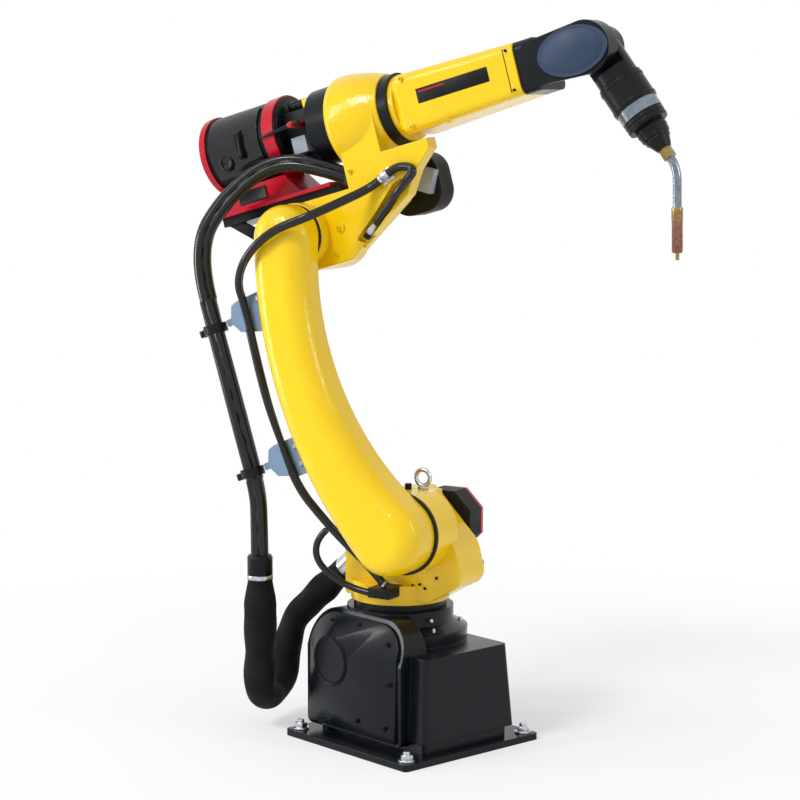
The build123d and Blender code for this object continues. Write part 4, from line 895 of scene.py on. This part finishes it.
def hose(name, points, girth, gap, sides):
    """Skins a hose along its route; girth gives its radius from the length run and the angle round it."""
    steps = even_steps(route(points), gap)
    heading = (steps[1] - steps[0]).normalized()
    side = heading.orthogonal().normalized()
    corners, faces, spots = [], [], []
    for number, centre in enumerate(steps):
        ahead = steps[min(number + 1, len(steps) - 1)] - steps[max(number - 1, 0)]
        side = side - ahead.normalized() * side.dot(ahead.normalized())
        side.normalize()
        up = ahead.normalized().cross(side)
        for spoke in range(sides):
            angle = 2 * pi * spoke / sides
            reach = girth(number * gap, angle)
            corners.append(centre + (side * cos(angle) + up * sin(angle)) * reach)
    for number in range(len(steps) - 1):
        for spoke in range(sides):
            after = (spoke + 1) % sides
            near, far = number * sides, (number + 1) * sides
            faces.append((near + spoke, near + after, far + after, far + spoke))
            spots.append((number, spoke))
    faces.append(tuple(reversed(range(sides))))
    faces.append(tuple(range(len(corners) - sides, len(corners))))
    mesh = bpy.data.meshes.new(name)
    mesh.from_pydata(corners, [], faces)
    wrap = mesh.uv_layers.new(name="wrap")
    around = 2 * pi * girth(0, 0) / sides
    for face, (number, spoke) in zip(mesh.polygons, spots):
        for corner, (u, v) in zip(face.loop_indices, ((0, 0), (0, 1), (1, 1), (1, 0))):
            wrap.data[corner].uv = ((number + u) * gap, (spoke + v) * around)
    piece = bpy.data.objects.new(name, mesh)
    bpy.context.scene.collection.objects.link(piece)
    return piece


def round_girth(radius):
    """Plain round hose."""
    return lambda along, angle: radius


def stranded_girth(radius, strands, lay, depth):
    """Glossy conduits bound side by side, which turn once round each other in this length."""

    def reach(along, angle):
        turn = angle + 2 * pi * along / lay
        return radius - depth * (1 - abs(cos(strands * turn / 2))) ** 2

    return reach


# Ends of the hoses' stretches, and the fittings that hold them
COLLAR_LENGTH = 0.054
hose_top = ARM @ Vector((-0.226, 0.590, HOSE_LINE))
hose_bottom = ARM @ Vector((-0.270, 0.212, HOSE_LINE))
hose_line = (hose_bottom - hose_top).normalized()
collar_top = TURRET @ Vector((-0.246, 0.380, HOSE_LINE))
collar_bottom = collar_top - UPWARD * COLLAR_LENGTH
fitting = link_frame(TURRET @ Vector((-0.092, 0.376, 0.002)), 43)
clamp = link_frame(ELBOW @ Vector((0.226, 0.066, 0.0912)), FOREARM_TILT + 21)
gland = link_frame(ELBOW @ Vector(GLAND_SPOT), FOREARM_TILT + GLAND_TURN)
harness_top = ARM @ Vector((-0.150, 0.500, HARNESS_LINE))
harness_foot = ARM @ Vector((-0.172, 0.200, HARNESS_LINE))

upper_hose_route = [
    hose_top,
    hose_top - hose_line * 0.110,
    ELBOW @ Vector((-0.132, 0.118, 0.124)),
    ELBOW @ Vector((-0.014, 0.164, 0.090)),
    ELBOW @ Vector((0.092, 0.112, 0.062)),
    ELBOW @ Vector((0.1205, 0.0884, 0.055)),
]
lower_hose_route = [
    hose_bottom,
    hose_bottom + hose_line * 0.034,
    collar_top + UPWARD * 0.066,
    collar_top,
]
sleeve_route = [
    collar_bottom,
    collar_bottom - UPWARD * 0.120,
    TURRET @ Vector((-0.258, 0.068, 0.142)),
    TURRET @ Vector((-0.290, 0.068, 0.0)),
    TURRET @ Vector((-0.274, 0.205, 0.002)),
    fitting @ Vector((-0.145, 0, 0)),
    fitting @ Vector((-0.058, 0, 0)),
]
harness_end_route = [
    clamp @ Vector((0.013, 0, 0)),
    clamp @ Vector((0.039, 0, 0)),
    ELBOW @ Vector((0.302, 0.062, 0.0912)),
    ELBOW @ Vector((0.266, 0.038, 0.0992)),
    gland @ Vector((0.060, 0, 0)),
    gland @ Vector((0.024, 0, 0)),
]
harness_upper_route = [
    clamp @ Vector((-0.013, 0, 0)),
    clamp @ Vector((-0.039, 0, 0)),
    ELBOW @ Vector((0.146, 0.036, 0.144)),
    ELBOW @ Vector((0.098, 0.020, 0.203)),
    ARM @ Vector((0.014, 0.652, 0.210)),
    ARM @ Vector((-0.066, 0.630, 0.206)),
    ARM @ Vector((-0.128, 0.594, 0.176)),
    ARM @ Vector((-0.142, 0.550, HARNESS_LINE)),
    harness_top,
]
harness_middle_route = [
    harness_top,
    ARM @ Vector((-0.166, 0.400, HARNESS_LINE)),
    ARM @ Vector((-0.174, 0.300, HARNESS_LINE)),
    harness_foot,
]
harness_lower_route = [
    harness_foot,
    ARM @ Vector((-0.1712, 0.160, HARNESS_LINE)),
    ARM @ Vector((-0.142, 0.084, 0.154)),
    TURRET @ Vector((-0.036, 0.420, 0.148)),
    TURRET @ Vector((0.015, 0.372, 0.134)),
    TURRET @ Vector((0.034, 0.3385, 0.117)),
]
harness_loop_route = [
    TURRET @ Vector((-0.00175, 0.3203, 0.117)),
    TURRET @ Vector((-0.052, 0.3263, 0.122)),
    TURRET @ Vector((-0.116, 0.372, 0.138)),
    TURRET @ Vector((-0.112, 0.424, 0.148)),
    TURRET @ Vector((-0.085, 0.446, 0.1505)),
]


def finish_hose(piece, node, material):
    """Gives a hose its skin, and lets it stand for its CAD node."""
    shade(piece, 60)
    piece.data.materials.append(material)
    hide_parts(node)
    return piece


thick_hose = stranded_girth(radius=0.019, strands=3, lay=2.4, depth=0.006)
harness_hose = stranded_girth(radius=0.009, strands=2, lay=0.9, depth=0.003)
loop_hose = round_girth(radius=0.007)


# Sleeve: radius at its ends, its length, the part that hangs straight, and the length over which it fills out
SLEEVE_NECK = 0.0255
SLEEVE_RUN = 0.66
HANGING_RUN = 0.25
SLEEVE_TAPER = 0.05


def sleeve_girth(along, angle):
    """Slack sleeve: full in its middle, drawn in at both ends, with soft folds."""
    filling = min(1, along / SLEEVE_TAPER, max(0, SLEEVE_RUN - along) / SLEEVE_TAPER)
    small_folds = sin(along / 0.0135 + 1.5 * sin(angle)) * 0.0011
    large_folds = sin(along / 0.031 + 2 * angle) * 0.0014
    slack = max(0.0040, 0.0075 - max(0, along - HANGING_RUN) * 0.035)
    return SLEEVE_NECK + (slack + small_folds + large_folds) * filling


upper_hose = hose("thick_hose_upper", upper_hose_route, thick_hose, gap=0.005, sides=48)
finish_hose(upper_hose, "hose_upper", conduit_skin)
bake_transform(upper_hose)
middle_hose_route = [hose_top, hose_top.lerp(hose_bottom, 0.5), hose_bottom]
middle_hose = hose("thick_hose_middle", middle_hose_route, thick_hose, gap=0.005, sides=48)
finish_hose(middle_hose, "hose_middle", conduit_skin)
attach(middle_hose, "arm")
lower_hose = hose("thick_hose_lower", lower_hose_route, thick_hose, gap=0.005, sides=48)
finish_hose(lower_hose, "hose_lower", conduit_skin)
sleeve = hose("torch_cable_sleeve", sleeve_route, sleeve_girth, gap=0.004, sides=48)
finish_hose(sleeve, "cable_sleeve", braided_sleeve)

# Cuff that draws the sleeve in, with a steel band round it
cuff = disc(radius=0.0262, height=0.046, low=0, sides=48)
step(cuff, inset=-0.0008, rise=0.004)
step(cuff, inset=0.002, rise=0.004)
soften(cuff, width=0.001)
cuff.data.transform(Matrix.Translation(collar_bottom))
cuff.name = "sleeve_cuff"
finish_hose(cuff, "sleeve_collar", black_plastic)
band = disc(radius=0.0272, height=0.008, low=0.004, sides=64)
step(band, inset=0.0006, rise=0.0005)
soften(band, width=0.0005)
band.data.transform(Matrix.Translation(collar_bottom))
band.name = "sleeve_band"
shade(band)
band.data.materials.append(plated_steel)
for piece in (lower_hose, sleeve, cuff, band):
    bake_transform(piece)

harness_end = hose("harness_end_hose", harness_end_route, harness_hose, gap=0.004, sides=32)
finish_hose(harness_end, "harness_end", conduit_skin)
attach(harness_end, "elbow")
harness_upper = hose("harness_upper_hose", harness_upper_route, harness_hose, gap=0.004, sides=32)
finish_hose(harness_upper, "harness_upper", conduit_skin)
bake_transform(harness_upper)
harness_middle = hose("harness_middle_hose", harness_middle_route, harness_hose, gap=0.004, sides=32)
finish_hose(harness_middle, "harness_middle", conduit_skin)
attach(harness_middle, "arm")
harness_lower = hose("harness_lower_hose", harness_lower_route, harness_hose, gap=0.004, sides=32)
finish_hose(harness_lower, "harness_lower", conduit_skin)
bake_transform(harness_lower)
harness_loop = hose("harness_loop_hose", harness_loop_route, loop_hose, gap=0.003, sides=24)
finish_hose(harness_loop, "harness_loop", conduit_skin)
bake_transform(harness_loop)

for pattern in (socket_screw, anchor, ring_pin, connector, clamp_lug):
    bpy.data.objects.remove(pattern)

# Floor: pale and matt near the arm, where it takes the shadow, and plain white further out
clear_selection()
bpy.ops.mesh.primitive_grid_add(x_subdivisions=24, y_subdivisions=24, size=24)
floor = bpy.context.active_object
floor.name = "studio_floor"
floor_paint, floor_output = new_material("studio_floor")
floor_place = add_node(floor_paint, "ShaderNodeTexCoord", {}, {})
distance = add_node(floor_paint, "ShaderNodeVectorMath", {"operation": "LENGTH"}, {0: (floor_place, "Object")})
fading = add_node(
    floor_paint,
    "ShaderNodeMapRange",
    {"From Min": 0.3, "From Max": 1.8, "To Min": 0.45},
    {"Value": (distance, "Value")},
)
rays = add_node(floor_paint, "ShaderNodeLightPath", {}, {})
seen = add_node(
    floor_paint,
    "ShaderNodeMath",
    {"operation": "MAXIMUM"},
    {0: (rays, "Is Camera Ray"), 1: (rays, "Is Glossy Ray")},
)
shown = add_node(floor_paint, "ShaderNodeMath", {"operation": "MULTIPLY"}, {0: (fading, 0), 1: (seen, 0)})
matt = add_node(floor_paint, "ShaderNodeBsdfDiffuse", {"Color": linear("#FAFAFA")}, {})
white = add_node(floor_paint, "ShaderNodeEmission", {"Color": (1, 1, 1, 1), "Strength": 1.0}, {})
mixed = add_node(floor_paint, "ShaderNodeMixShader", {}, {0: (shown, 0), 1: (matt, 0), 2: (white, 0)})
floor_paint.node_tree.links.new(mixed.outputs[0], floor_output.inputs[0])
floor.data.materials.append(floor_paint)

# Studio: dim light all round, which the camera, metal and gloss see as white
world = bpy.data.worlds.new("studio")
bpy.context.scene.world = world
world.use_nodes = True
world.node_tree.nodes.clear()
sky_rays = add_node(world, "ShaderNodeLightPath", {}, {})
sky_glossy = add_node(
    world,
    "ShaderNodeMath",
    {"operation": "MAXIMUM"},
    {0: (sky_rays, "Is Camera Ray"), 1: (sky_rays, "Is Glossy Ray")},
)
sky_seen = add_node(
    world,
    "ShaderNodeMath",
    {"operation": "MAXIMUM"},
    {0: (sky_glossy, 0), 1: (sky_rays, "Is Transmission Ray")},
)
dim = add_node(world, "ShaderNodeBackground", {"Color": (1, 1, 1, 1), "Strength": 0.45}, {})
bright = add_node(world, "ShaderNodeBackground", {"Color": (1, 1, 1, 1), "Strength": 1.0}, {})
sky = add_node(world, "ShaderNodeMixShader", {}, {0: (sky_seen, 0), 1: (dim, 0), 2: (bright, 0)})
world_output = world.node_tree.nodes.new("ShaderNodeOutputWorld")
world.node_tree.links.new(sky.outputs[0], world_output.inputs[0])


def lamp(name, kind, place, target, power, size):
    """Adds a lamp that points from its place at its target; a sun's size is its angle in degrees."""
    light = bpy.data.lights.new(name, kind)
    light.energy = power
    if kind == "AREA":
        light.shape = "RECTANGLE"
        light.size, light.size_y = size
    else:
        light.angle = radians(size)
    stand = bpy.data.objects.new(name, light)
    stand.location = place
    stand.rotation_euler = (Vector(target) - Vector(place)).to_track_quat("-Z", "Y").to_euler()
    bpy.context.scene.collection.objects.link(stand)


lamp("window", "SUN", place=(0.2, -3.2, 3.4), target=(0.1, 0, 0.2), power=1.3, size=14)
lamp("softbox", "AREA", place=(-0.9, -3.2, 2.6), target=(0.1, 0, 0.7), power=26, size=(0.5, 1.6))
lamp("left_softbox", "AREA", place=(-2.1, -2.2, 0.9), target=(0.05, -0.1, 0.45), power=24, size=(0.28, 1.5))
lamp("side_softbox", "AREA", place=(3.2, 1.2, 2.2), target=(0.2, 0, 0.8), power=20, size=(0.6, 1.4))

# Camera at the photograph's angle: it looks a little down, along this heading
CAMERA_DIP = 7.71
CAMERA_HEADING = 138.29
lens = bpy.data.cameras.new("camera")
lens.sensor_width = 36
lens.lens = 109.42
camera = bpy.data.objects.new("camera", lens)
camera.location = (3.677, -3.278, 1.3677)
camera.rotation_euler = (radians(90 - CAMERA_DIP), 0, radians(CAMERA_HEADING - 90))
bpy.context.scene.collection.objects.link(camera)
bpy.context.scene.camera = camera
bpy.context.scene.view_settings.view_transform = "Standard"
